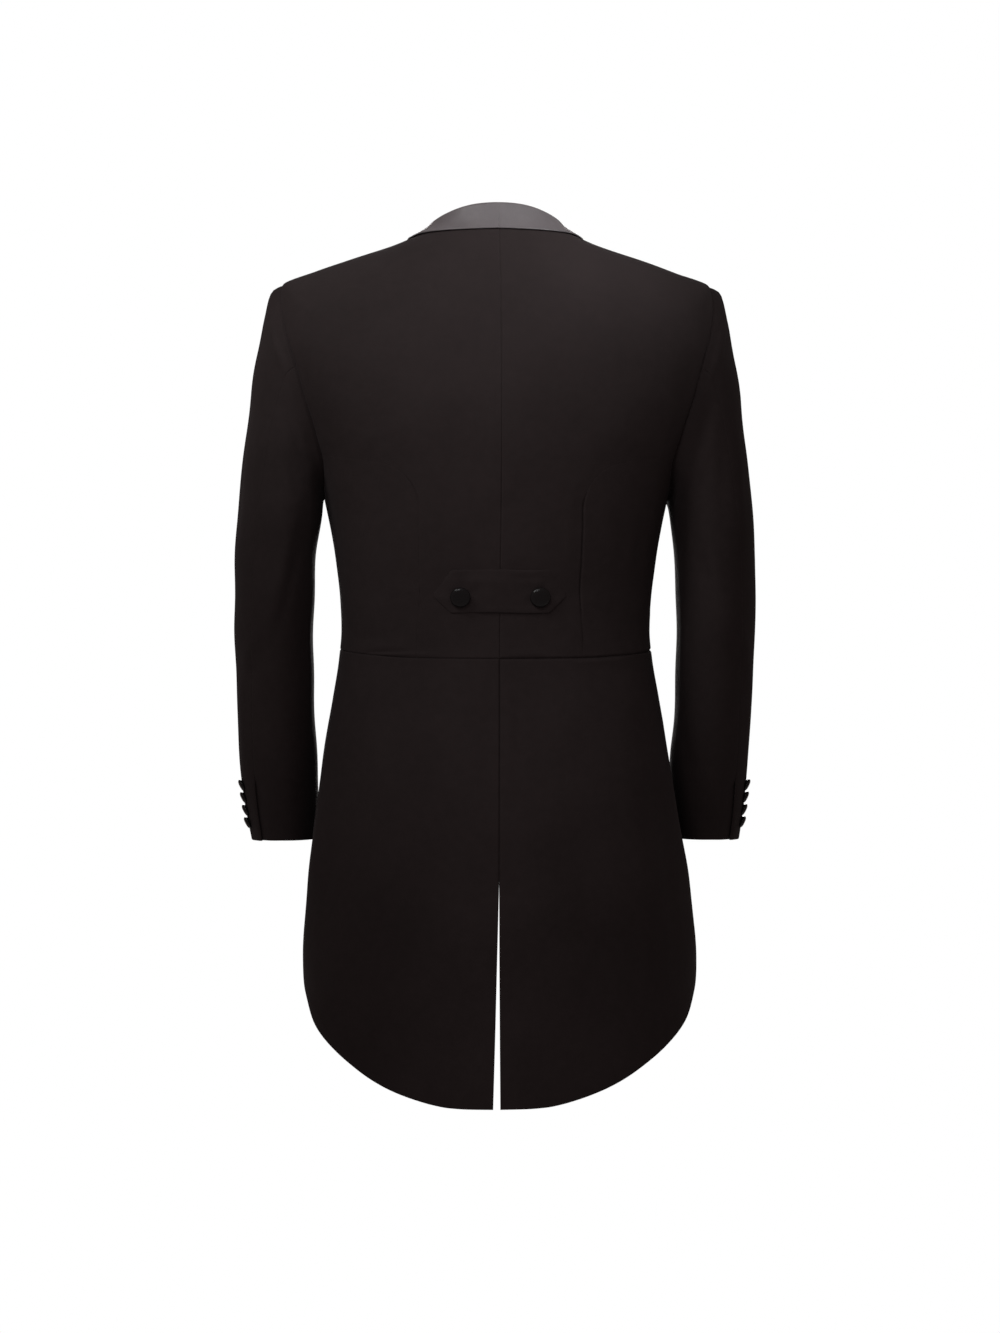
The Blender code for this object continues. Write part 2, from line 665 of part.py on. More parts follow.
def button(name, place, facing, size, sides=12, mirror=False):
    """A domed disc with its flat back at the place, facing outwards."""
    radius, height = size
    facing = np.array(facing, float) / np.linalg.norm(facing)
    helper = np.array((0.0, 0.0, 1.0))
    across = np.cross(helper, facing)
    across /= np.linalg.norm(across)
    up = np.cross(facing, across)
    profile = ((0.90, 0.0), (1.0, 0.18), (0.97, 0.50), (0.72, 0.84))
    points = [place + facing * 0.0]
    for share, rise in profile:
        for k in range(sides):
            a = 2 * math.pi * k / sides
            points.append(place + facing * rise * height
                          + (across * math.cos(a) + up * math.sin(a)) * radius * share)
    points.append(place + facing * height)
    faces = []
    last = len(points) - 1
    for k in range(sides):
        k2 = (k + 1) % sides
        faces.append((0, 1 + k2, 1 + k))
        for r in range(len(profile) - 1):
            a, b = 1 + r * sides, 1 + (r + 1) * sides
            faces.append((a + k, a + k2, b + k2))
            faces.append((a + k, b + k2, b + k))
        a = 1 + (len(profile) - 1) * sides
        faces.append((a + k, a + k2, last))
    return add_object(name, points, faces, *SATIN, mirror=mirror)


def cuff_buttons(side, mirror):
    for number, z in enumerate(CUFF_BUTTON_RINGS, 1):
        a = CUFF_BUTTON_ANGLE
        point = sleeve_point(a, z)
        along = sleeve_point(a + 2, z) - sleeve_point(a - 2, z)
        down = sleeve_point(a, z - 0.004) - sleeve_point(a, z + 0.004)
        n = np.cross(along, down)
        n /= np.linalg.norm(n)
        n *= np.sign(n[0])
        down /= np.linalg.norm(down)
        # Each button leans so that its upper rim stands out over the cloth
        facing = n + down * CUFF_BUTTON_TILT
        facing /= np.linalg.norm(facing)
        lift = 0.0006 + SMALL_BUTTON[0] * 0.95 * CUFF_BUTTON_TILT / math.hypot(1, CUFF_BUTTON_TILT)
        button(f"cuff_button_{side}_{number}", point + n * lift, facing, SMALL_BUTTON,
               sides=10, mirror=mirror)


def build():
    for old in list(bpy.data.objects):
        bpy.data.objects.remove(old, do_unlink=True)
    for side, mirror, sign in (("left", False, 1.0), ("right", True, -1.0)):
        turns, levels = back_grid()
        panel("back_" + side, turns, levels, WOOL, mirror)
        turns, levels = side_grid()
        panel("side_" + side, turns, levels, WOOL, mirror)
        turns, levels = front_grid()
        panel("front_" + side, turns, levels, WOOL, mirror, out=lap(turns, levels, sign))
        turns, levels = skirt_grid()
        shift = np.zeros(levels.shape)
        shift[:, 0] = vent_shift(side, levels[:, 0])
        panel("skirt_" + side, turns, levels, WOOL, mirror, shift=shift)
        sleeve("sleeve_top_" + side, "forearm", "hindarm", mirror)
        sleeve("sleeve_under_" + side, "hindarm", "forearm", mirror)
        collar("collar_" + side, mirror)
        cuff_buttons(side, mirror)
        turn = turn_at(BELT_BUTTON_X, BELT_BUTTON_Z)
        place = on_body(turn, BELT_BUTTON_Z, BELT_GAP + BELT_WALL + 0.0006)
        button("belt_button_" + side, place, body_normal(turn, BELT_BUTTON_Z), LARGE_BUTTON,
               sides=18, mirror=mirror)
    belt()
    place = on_body(-90.0, FRONT_BUTTON_LEVEL, FRONT_LAP + 0.0008)
    button("front_button", place, body_normal(-90.0, FRONT_BUTTON_LEVEL), LARGE_BUTTON, sides=18)


build()
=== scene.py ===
"""Looks of the tailcoat: every cloth piece as a fine shell on the form of its solid, with its seams,
pressed edges and creases, the satin collar, the half belt and the covered buttons.

The form's own tables and functions are repeated from the part's source, in metres and in the same
frame: turn 90 is the centre back, 0 the side and -90 the centre front.
"""

import math

import bpy
import numpy as np
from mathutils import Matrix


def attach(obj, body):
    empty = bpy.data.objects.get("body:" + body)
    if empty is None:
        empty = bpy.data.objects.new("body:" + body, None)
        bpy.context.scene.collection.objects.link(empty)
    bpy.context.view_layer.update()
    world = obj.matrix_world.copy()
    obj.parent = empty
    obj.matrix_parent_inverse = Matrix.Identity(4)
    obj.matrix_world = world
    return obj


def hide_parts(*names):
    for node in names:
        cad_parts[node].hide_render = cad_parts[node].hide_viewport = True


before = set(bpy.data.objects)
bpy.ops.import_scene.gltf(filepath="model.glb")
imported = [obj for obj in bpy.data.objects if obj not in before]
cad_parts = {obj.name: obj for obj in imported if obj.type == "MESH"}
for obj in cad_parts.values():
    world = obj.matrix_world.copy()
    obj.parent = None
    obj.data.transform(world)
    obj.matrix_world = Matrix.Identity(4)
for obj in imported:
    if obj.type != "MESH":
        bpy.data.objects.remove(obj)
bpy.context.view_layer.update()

# ---------------------------------------------------------------- the form of the solids
WALL = 0.0020  # cloth with its interlining
SEAM_GAP = 0.0004  # between neighbouring pieces
FALL_GAP = 0.0013  # between the collar and the cloth on either side of it
COLLAR_WALL = 0.0016
FRONT_LAP = 0.0017  # how far the left front stands out and the right front in, where they lap
BELT_GAP = 0.0007
BELT_WALL = 0.0024
BELT_TIP = 0.0735
BELT_CORNER = 0.0540
BELT_TOP = -0.3828
BELT_BOTTOM = -0.4302
BELT_POINT = -0.4105
BELT_BUTTON_X = 0.0436
BELT_BUTTON_Z = -0.4125
LARGE_BUTTON = (0.0112, 0.0055)  # radius, height
SMALL_BUTTON = (0.0067, 0.0036)
CUFF_BUTTON_RINGS = (-0.6205, -0.6345, -0.6490, -0.6632)
CUFF_BUTTON_ANGLE = 17.0
CUFF_BUTTON_IN = 2.0
CUFF_BUTTON_TILT = 0.30
FRONT_BUTTON_LEVEL = -0.4320

# Rings of the worn form, from the neck down
RING_COLUMNS = ("level", "side_z", "front_z", "half_width", "back", "front", "fullness")
RINGS = (
    (0.0300, 0.0180, -0.0520, 0.0660, 0.052, 0.066, 0.02),
    (0.0060, -0.0030, -0.0700, 0.0780, 0.060, 0.072, 0.03),
    (-0.0160, -0.0135, -0.0880, 0.1025, 0.073, 0.085, 0.04),
    (-0.0340, -0.0202, -0.1020, 0.1204, 0.084, 0.095, 0.05),
    (-0.0700, -0.0336, -0.1300, 0.1622, 0.101, 0.110, 0.06),
    (-0.1050, -0.0470, -0.1550, 0.2024, 0.112, 0.120, 0.07),
    (-0.1350, -0.0580, -0.1760, 0.2372, 0.119, 0.127, 0.08),
    (-0.1680, -0.1050, -0.1980, 0.2460, 0.124, 0.132, 0.10),
    (-0.2000, -0.1650, -0.2180, 0.2370, 0.127, 0.137, 0.10),
    (-0.2350, -0.2250, -0.2420, 0.2190, 0.128, 0.141, 0.09),
    (-0.2720, -0.2720, -0.2720, 0.2000, 0.126, 0.143, 0.08),
    (-0.3248, -0.3248, -0.3248, 0.1870, 0.120, 0.142, 0.07),
    (-0.3696, -0.3696, -0.3696, 0.1792, 0.112, 0.139, 0.07),
    (-0.4144, -0.4144, -0.4144, 0.1740, 0.104, 0.135, 0.06),
    (-0.4480, -0.4480, -0.4480, 0.1725, 0.101, 0.133, 0.06),
    (-0.4816, -0.4816, -0.4816, 0.1754, 0.103, 0.133, 0.06),
    (-0.5264, -0.5264, -0.5264, 0.1830, 0.110, 0.136, 0.06),
    (-0.5712, -0.5712, -0.5712, 0.1912, 0.118, 0.139, 0.06),
    (-0.6160, -0.6160, -0.6160, 0.1980, 0.126, 0.142, 0.06),
    (-0.6830, -0.6830, -0.6830, 0.2076, 0.135, 0.146, 0.06),
    (-0.7280, -0.7280, -0.7280, 0.2130, 0.140, 0.148, 0.06),
    (-0.8120, -0.8120, -0.8120, 0.2184, 0.146, 0.150, 0.06),
    (-0.9000, -0.9000, -0.9000, 0.2190, 0.150, 0.150, 0.06),
    (-1.0000, -1.0000, -1.0000, 0.2190, 0.153, 0.150, 0.06),
)
RIDGE = 0.2  # how softly a ring bends over the shoulder line

# The armhole, once round from the shoulder tip by the back, with the angle round the sleeve
# that each point runs down to at the arm and at the cuff
ARMHOLE_COLUMNS = ("place", "turn", "level", "arm_angle", "cuff_angle")
ARMHOLE = (
    ("tip", 0.0, -0.1385, 0, 0),
    ("back_1", 11.5, -0.1495, 13, 9),
    ("back_2", 20.5, -0.1580, 27, 19),
    ("back_3", 27.0, -0.1700, 43, 32),
    ("hindarm", 30.3, -0.1860, 60, 47),
    ("back_5", 31.2, -0.2050, 78, 66),
    ("back_6", 29.8, -0.2280, 97, 88),
    ("side_body", 25.0, -0.2575, 118, 112),
    ("under_1", 19.5, -0.2740, 134, 131),
    ("under_2", 12.5, -0.2880, 152, 150),
    ("under_3", 3.5, -0.2980, 170, 169),
    ("side_seam", -8.0, -0.3020, 188, 188),
    ("under_5", -17.0, -0.2980, 203, 203),
    ("under_6", -25.0, -0.2870, 218, 218),
    ("forearm", -30.5, -0.2700, 233, 233),
    ("front_1", -33.0, -0.2480, 250, 250),
    ("front_2", -33.0, -0.2220, 267, 267),
    ("front_3", -31.0, -0.1970, 285, 285),
    ("front_4", -27.0, -0.1760, 304, 304),
    ("front_5", -20.0, -0.1590, 323, 323),
    ("front_6", -11.0, -0.1480, 342, 342),
)
PLACES = [row[0] for row in ARMHOLE]

# The seam between the back and the side body, down to the waist
SIDE_BODY_COLUMNS = ("turn", "level")
SIDE_BODY = (
    (25.0, -0.2575),
    (38.0, -0.2605),
    (49.0, -0.2645),
    (57.0, -0.2720),
    (61.0, -0.2870),
    (62.8, -0.3070),
    (62.2, -0.3350),
    (61.5, -0.3720),
    (61.1, -0.4050),
    (60.0, -0.4380),
    (59.8, -0.4780),
)
SIDE_SEAM_TURN = -8.0

# The fronts' edge: under the roll line down to the break, past the centre at the button, then
# swept back to the waist seam
FRONT_EDGE_COLUMNS = ("level", "turn")
FRONT_EDGE = (
    (-0.0040, -22.0),
    (-0.0120, -37.0),
    (-0.0220, -47.0),
    (-0.0380, -56.0),
    (-0.0580, -62.5),
    (-0.0820, -68.0),
    (-0.1080, -72.0),
    (-0.1380, -75.3),
    (-0.1760, -76.8),
    (-0.2190, -77.6),
    (-0.2910, -79.0),
    (-0.3500, -81.7),
    (-0.3850, -84.9),
    (-0.4020, -86.6),
    (-0.4120, -91.0),
    (-0.4220, -94.0),
    (-0.4350, -95.4),
    (-0.4500, -94.8),
    (-0.4680, -91.5),
)

WAIST_COLUMNS = ("turn", "level")
WAIST = (
    (-100.0, -0.4660),
    (-60.0, -0.4660),
    (-20.0, -0.4680),
    (15.0, -0.4715),
    (40.0, -0.4760),
    (60.0, -0.4795),
    (90.0, -0.4805),
)

HEM_COLUMNS = ("turn", "level")
HEM = (
    (-88.6, -0.4880),
    (-84.0, -0.5100),
    (-75.0, -0.5500),
    (-60.0, -0.6060),
    (-45.0, -0.6600),
    (-30.0, -0.7130),
    (-15.0, -0.7650),
    (0.0, -0.8160),
    (9.0, -0.8420),
    (17.4, -0.8592),
    (25.5, -0.8797),
    (34.7, -0.8998),
    (43.9, -0.9200),
    (53.4, -0.9401),
    (59.2, -0.9503),
    (63.6, -0.9566),
    (67.0, -0.9608),
    (71.5, -0.9655),
    (76.0, -0.9687),
    (82.0, -0.9702),
    (90.0, -0.9706),
)

# How far each tail's inner edge stands off the centre back below the vent's head
VENT_COLUMNS = ("level", "left", "right")
VENT = (
    (-0.7250, 0.0, 0.0),
    (-0.7450, 0.0003, 0.0003),
    (-0.7950, 0.0010, 0.0010),
    (-0.8800, 0.0024, 0.0022),
    (-0.9710, 0.0044, 0.0034),
)

# The coat hangs a little off true: how far each height sways sideways, and how far it turns
HANG_COLUMNS = ("z", "sway", "twist")
HANG = (
    (-1.0000, -0.0028, 0.066),
    (-0.7800, -0.0027, 0.054),
    (-0.6900, -0.0008, 0.034),
    (-0.6000, 0.0006, 0.018),
    (-0.4500, 0.0008, 0.006),
    (-0.2500, 0.0006, 0.000),
    (0.0500, 0.0006, 0.000),
)

# Rings of the sleeve, from the arm down: outer and inner edge, how far forward, and the lean
SLEEVE_COLUMNS = ("z", "outer", "inner", "middle_y", "half_depth", "lean")
SLEEVE = (
    (-0.3140, 0.2884, 0.1940, 0.002, 0.0675, 0.00),
    (-0.3700, 0.2914, 0.2009, 0.000, 0.0660, 0.00),
    (-0.4140, 0.2926, 0.2035, -0.003, 0.0640, 0.01),
    (-0.4600, 0.2918, 0.2038, -0.010, 0.0615, 0.02),
    (-0.5040, 0.2910, 0.2038, -0.020, 0.0590, 0.03),
    (-0.5490, 0.2884, 0.2021, -0.032, 0.0570, 0.05),
    (-0.5880, 0.2859, 0.1998, -0.043, 0.0550, 0.06),
    (-0.6160, 0.2832, 0.1990, -0.051, 0.0540, 0.06),
    (-0.6500, 0.2792, 0.2005, -0.061, 0.0530, 0.04),
    (-0.6820, 0.2748, 0.2030, -0.069, 0.0525, 0.02),
)
CAP_STEPS = (0.0, 0.05, 0.15, 0.32, 0.56, 0.80)
CAP_SWELL = 0.48
SLEEVE_STEPS = (-0.3140, -0.3700, -0.4300, -0.4900, -0.5490, -0.6000, -0.6400, -0.6820)

# The shawl collar from the centre back to the break: roll line, outer edge and how far the
# stand or facing runs back inside, as a share of the width
COLLAR_COLUMNS = ("roll_turn", "roll_level", "edge_turn", "edge_level", "inside")
COLLAR = (
    (90.0, 0.0222, 90.0, -0.0054, 1.00),
    (72.0, 0.0220, 72.0, -0.0058, 1.00),
    (57.0, 0.0206, 57.0, -0.0066, 1.00),
    (44.0, 0.0172, 44.0, -0.0068, 1.00),
    (30.0, 0.0138, 30.0, -0.0066, 1.00),
    (17.0, 0.0112, 17.0, -0.0062, 1.00),
    (6.0, 0.0090, 6.0, -0.0060, 1.00),
    (-1.0, 0.0070, -1.0, -0.0075, 1.00),
    (-8.0, 0.0055, -8.0, -0.0118, 1.00),
    (-17.0, 0.0035, -15.0, -0.0180, 1.00),
    (-27.0, 0.0020, -22.0, -0.0260, 0.95),
    (-37.0, -0.0040, -28.5, -0.0360, 0.85),
    (-46.5, -0.0110, -35.0, -0.0480, 0.75),
    (-58.0, -0.0310, -42.5, -0.0670, 0.60),
    (-66.0, -0.0560, -48.2, -0.0880, 0.50),
    (-73.0, -0.0930, -53.5, -0.1130, 0.45),
    (-77.5, -0.1310, -57.2, -0.1400, 0.45),
    (-79.0, -0.1750, -59.5, -0.1790, 0.45),
    (-79.8, -0.2190, -58.2, -0.2240, 0.45),
    (-80.4, -0.2580, -56.8, -0.2680, 0.45),
    (-81.2, -0.2910, -59.5, -0.3070, 0.45),
    (-83.3, -0.3350, -67.5, -0.3520, 0.50),
    (-86.0, -0.3740, -78.0, -0.3830, 0.60),
    (-88.0, -0.3990, -85.3, -0.3995, 0.80),
)
FOLD_STEPS = (36, 72, 108, 144)


def column(rows, names, name):
    return np.array([row[names.index(name)] for row in rows], float)


def slopes(x, y):
    """Slopes at the table's rows that keep the curve between them from overshooting."""
    h = np.diff(x)
    d = np.diff(y) / h
    m = np.zeros_like(y)
    m[0], m[-1] = d[0], d[-1]
    for i in range(1, len(x) - 1):
        if d[i - 1] * d[i] > 0:
            w1, w2 = 2 * h[i] + h[i - 1], h[i] + 2 * h[i - 1]
            m[i] = (w1 + w2) / (w1 / d[i - 1] + w2 / d[i])
    return m


def smooth_table(rows, names, key):
    """A function of the key column that returns each other column, as a dictionary."""
    order = np.argsort(column(rows, names, key))
    x = column(rows, names, key)[order]
    curves = {}
    for name in names:
        if name != key:
            y = column(rows, names, name)[order]
            curves[name] = (y, slopes(x, y))

    def at(name, q):
        y, m = curves[name]
        q = np.clip(np.asarray(q, float), x[0], x[-1])
        i = np.clip(np.searchsorted(x, q) - 1, 0, len(x) - 2)
        h = x[i + 1] - x[i]
        t = (q - x[i]) / h
        return (y[i] * (1 + 2 * t) * (1 - t) ** 2 + h * m[i] * t * (1 - t) ** 2
                + y[i + 1] * t * t * (3 - 2 * t) + h * m[i + 1] * t * t * (t - 1))

    return at


ring = smooth_table(RINGS, RING_COLUMNS, "level")
waist_level = smooth_table(WAIST, WAIST_COLUMNS, "turn")
hem_level = smooth_table(HEM, HEM_COLUMNS, "turn")
front_edge_turn = smooth_table(FRONT_EDGE, FRONT_EDGE_COLUMNS, "level")
sleeve_ring = smooth_table(SLEEVE, SLEEVE_COLUMNS, "z")
vent_shift = smooth_table(VENT, VENT_COLUMNS, "level")
hang = smooth_table(HANG, HANG_COLUMNS, "z")


def body(turn, level):
    """Points of the worn form."""
    turn, level = np.broadcast_arrays(np.asarray(turn, float), np.asarray(level, float))
    a, back, front = ring("half_width", level), ring("back", level), ring("front", level)
    side_z, front_z = ring("side_z", level), ring("front_z", level)
    s, c = np.sin(np.radians(turn)), np.cos(np.radians(turn))
    full = 1 + ring("fullness", level) * np.sin(2 * np.radians(turn)) ** 2
    bend = (np.sqrt(s * s + RIDGE ** 2) - RIDGE) / (math.sqrt(1 + RIDGE ** 2) - RIDGE)
    depth = (back + front) / 2 + (back - front) / 2 * s
    z = side_z + np.where(s > 0, level - side_z, front_z - side_z) * bend
    return np.stack([a * c * full, depth * s * full, z], -1)


def body_normal(turn, level):
    """Unit normals of the worn form, outwards."""
    along = body(np.asarray(turn) + 0.4, level) - body(np.asarray(turn) - 0.4, level)
    down = body(turn, np.asarray(level) - 0.0015) - body(turn, np.asarray(level) + 0.0015)
    n = np.cross(down, along)
    n /= np.linalg.norm(n, axis=-1, keepdims=True)
    return n


def on_body(turn, level, out):
    turn, level = np.broadcast_arrays(np.asarray(turn, float), np.asarray(level, float))
    out = np.broadcast_to(np.asarray(out, float), turn.shape)
    return body(turn, level) + body_normal(turn, level) * out[..., None]


def side_body_turn(level):
    t = column(SIDE_BODY, SIDE_BODY_COLUMNS, "turn")
    z = column(SIDE_BODY, SIDE_BODY_COLUMNS, "level")
    return np.interp(-np.asarray(level, float), -z, t)


def armhole(place):
    row = ARMHOLE[PLACES.index(place)]
    return row[1], row[2]


def places(first, last):
    """The armhole's rows from one place to another, going round by the back."""
    i, j = PLACES.index(first), PLACES.index(last)
    if j <= i:
        j += len(ARMHOLE)
    return [ARMHOLE[k % len(ARMHOLE)] for k in range(i, j + 1)]


def neck_level(turn):
    return np.interp(turn, (0.0, 45.0, 90.0), (-0.0040, 0.0015, 0.0030))


def lap(turns, levels, sign):
    """How far a front stands out or in near the centre, so that the left laps over the right."""
    near = np.clip((-turns - 68.0) / 14.0, 0, 1)
    low = np.clip((-levels - 0.392) / 0.022, 0, 1)
    return sign * FRONT_LAP * near * near * (3 - 2 * near) * low * low * (3 - 2 * low)


def sleeve_point(angle, z):
    """A point on the arm below the cap, by its angle from the outer side and its ring."""
    outer, inner = sleeve_ring("outer", z), sleeve_ring("inner", z)
    middle, half = sleeve_ring("middle_y", z), sleeve_ring("half_depth", z)
    c, s = np.cos(np.radians(angle)), np.sin(np.radians(angle))
    y = middle + half * s
    return np.stack([(outer + inner) / 2 + (outer - inner) / 2 * c, y,
                     z - sleeve_ring("lean", z) * half * s], -1)


def sleeve_angle(row, z):
    share = (SLEEVE[0][0] - z) / (SLEEVE[0][0] - SLEEVE[-1][0])
    arm, cuff = row[3], row[4]
    return arm + (cuff - arm) * share


# ---------------------------------------------------------------- smooth curves through the tables

CLOTH = 0.0018  # thickness of a visible shell of wool
SATIN_CLOTH = 0.0014
FINE = np.array((0.0, 0.0004, 0.0008, 0.0012, 0.0017, 0.0023, 0.0031, 0.0042, 0.0060))
SIGN = {"left": 1.0, "right": -1.0}


def spline_slopes(x, y):
    h = np.diff(x)[:, None]
    d = np.diff(y, axis=0) / h
    m = np.empty_like(y)
    m[1:-1] = (h[1:] * d[:-1] + h[:-1] * d[1:]) / (h[:-1] + h[1:])
    m[0] = 1.5 * d[0] - 0.5 * m[1]
    m[-1] = 1.5 * d[-1] - 0.5 * m[-2]
    return m


def spline(x, y, q):
    """Rows of y between the knots x, at q."""
    x, y, q = np.asarray(x, float), np.asarray(y, float), np.asarray(q, float)
    m = spline_slopes(x, y)
    i = np.clip(np.searchsorted(x, q, side="right") - 1, 0, len(x) - 2)
    h = (x[i + 1] - x[i])[..., None]
    t = (q - x[i])[..., None] / h
    return (y[i] * (1 + 2 * t) * (1 - t) ** 2 + h * m[i] * t * (1 - t) ** 2
            + y[i + 1] * t * t * (3 - 2 * t) + h * m[i + 1] * t * t * (t - 1))


def hole(s):
    """The armhole as one smooth loop: turn, level, arm angle and cuff angle at place number s."""
    rows, count = [], len(ARMHOLE)
    for k in range(-3, count + 4):
        row, laps = ARMHOLE[k % count], k // count
        rows.append((row[1], row[2], row[3] + 360 * laps, row[4] + 360 * laps))
    s = np.asarray(s, float)
    laps = np.floor(s / count)
    got = spline(np.arange(-3, count + 4), rows, s - laps * count)
    got[..., 2] += 360 * laps
    got[..., 3] += 360 * laps
    return got


def seam_curve(share):
    """The seam between back and side body: turn and level at a share of its length."""
    rows = np.array(SIDE_BODY, float)
    rows[-1, 1] = float(waist_level("level", rows[-1, 0]))
    points = body(rows[:, 0], rows[:, 1])
    along = np.concatenate([[0], np.cumsum(np.linalg.norm(np.diff(points, axis=0), axis=1))])
    return spline(along / along[-1], rows, share)


def graded(length, middle):
    """Distances along a line, close together at both ends."""
    fine = FINE * min(1.0, length / (4 * FINE[-1]))
    mid = np.linspace(fine[-1], length - fine[-1], middle + 1)
    return np.concatenate([fine[:-1], mid, (length - fine[:-1])[::-1]])


def lengths(points):
    return np.concatenate([[0], np.cumsum(np.linalg.norm(np.diff(points, axis=0), axis=1))])


def row_between(first, last, level_of, middle):
    """Turns and levels along one row of a panel, graded by real distance."""
    dense = np.linspace(first, last, 160)
    run = lengths(body(dense, level_of(dense)))
    turns = np.interp(graded(run[-1], middle), run, dense)
    turns[0], turns[-1] = first, last
    return turns, level_of(turns)


def smoothstep(low, high, x):
    t = np.clip((np.asarray(x, float) - low) / (high - low), 0, 1)
    return t * t * (3 - 2 * t)


# ---------------------------------------------------------------- panels as grids of turn and level

END = np.array((0, 0.0004, 0.0008, 0.0012, 0.0017, 0.0023, 0.0031, 0.0042, 0.006, 0.009, 0.0125, 0.016))


def stack_rows(rows):
    turns = np.array([row[0] for row in rows])
    levels = np.array([row[1] for row in rows])
    return turns, levels


def back_panel_grid():
    rows, marks, middle = [], {}, 50
    for w in 1 - END / 0.0175:
        rows.append(row_between(90, 0, lambda t: w * neck_level(t) + (1 - w) * -0.0160, middle))
    for level in np.arange(-0.0175, armhole("tip")[1], -0.0042):
        rows.append(row_between(90, 0, lambda t: np.full_like(t, level), middle))
    marks["tip"] = len(rows)
    last = PLACES.index("side_body")
    for turn, level in hole(np.linspace(0, last, 41))[:-1, :2]:
        rows.append(row_between(90, turn, lambda t: np.full_like(t, level), middle))
    marks["side_body"] = len(rows)
    shares = np.linspace(0, 1, 71)
    seam = seam_curve(shares)
    low = -0.4380
    for turn, level in seam[seam[:, 1] > low]:
        rows.append(row_between(90, turn, lambda t: np.full_like(t, level), middle))
    end = seam[-1, 1]
    for down in (0.040 - END)[END < 0.014][::-1]:
        w = down / 0.040 if down < 0.0399 else 1.0
        level_out = low + w * (end - low)
        turn = float(np.interp(-level_out, -seam[:, 1], seam[:, 0]))
        rows.append(row_between(90, turn, lambda t: (1 - w) * low + w * waist_level("level", t), middle))
    return *stack_rows(rows), marks


def front_panel_grid():
    rows, marks, middle = [], {}, 52

    def add(outer, level):
        edge = float(front_edge_turn("turn", level))
        rows.append(row_between(outer, edge, lambda t: np.full_like(t, level), middle))

    for down in END:
        add(0.0, -0.0040 - down)
    for level in np.arange(-0.0230, armhole("tip")[1], -0.0042):
        add(0.0, level)
    marks["tip"] = len(rows)
    first = PLACES.index("side_seam")
    for turn, level in hole(np.linspace(len(ARMHOLE), first, 51))[:-1, :2]:
        add(turn, level)
    marks["side_seam"] = len(rows)
    for level in np.arange(armhole("side_seam")[1], -0.4490, -0.0032):
        add(SIDE_SEAM_TURN, level)
    base, end = -0.4500, -0.4680
    for down in (0.0180 - END)[::-1]:
        w = min(1.0, down / 0.0180)
        edge = float(front_edge_turn("turn", base + w * (end - base)))
        rows.append(row_between(SIDE_SEAM_TURN, edge,
                                lambda t: (1 - w) * base + w * waist_level("level", t), middle))
    return *stack_rows(rows), marks


def side_panel_grid():
    """A patch between the side-body seam, the side seam, the armhole and the waist."""
    across = graded(0.135, 32) / 0.135
    down = graded(0.215, 52) / 0.215
    first, last = PLACES.index("side_body"), PLACES.index("side_seam")
    top = hole(first + across * (last - first))[:, :2]
    left = seam_curve(down)
    low = float(waist_level("level", SIDE_SEAM_TURN))
    right = np.stack([np.full(len(down), SIDE_SEAM_TURN), top[-1, 1] + down * (low - top[-1, 1])], -1)
    turns = left[-1, 0] + across * (SIDE_SEAM_TURN - left[-1, 0])
    bottom = np.stack([turns, waist_level("level", turns)], -1)
    u, v = across[None, :, None], down[:, None, None]
    grid = ((1 - v) * top[None] + v * bottom[None] + (1 - u) * left[:, None] + u * right[:, None]
            - (1 - u) * (1 - v) * top[0] - u * (1 - v) * top[-1]
            - (1 - u) * v * bottom[0] - u * v * bottom[-1])
    return grid[..., 0], grid[..., 1], {}


def skirt_panel_grid():
    turns, _ = row_between(90, -88.6, lambda t: waist_level("level", t), 118)
    top, hem = waist_level("level", turns), hem_level("level", turns)
    levels = np.stack([t - graded(t - h, 84) for t, h in zip(top, hem)], 1)
    return np.broadcast_to(turns, levels.shape).copy(), levels, {}
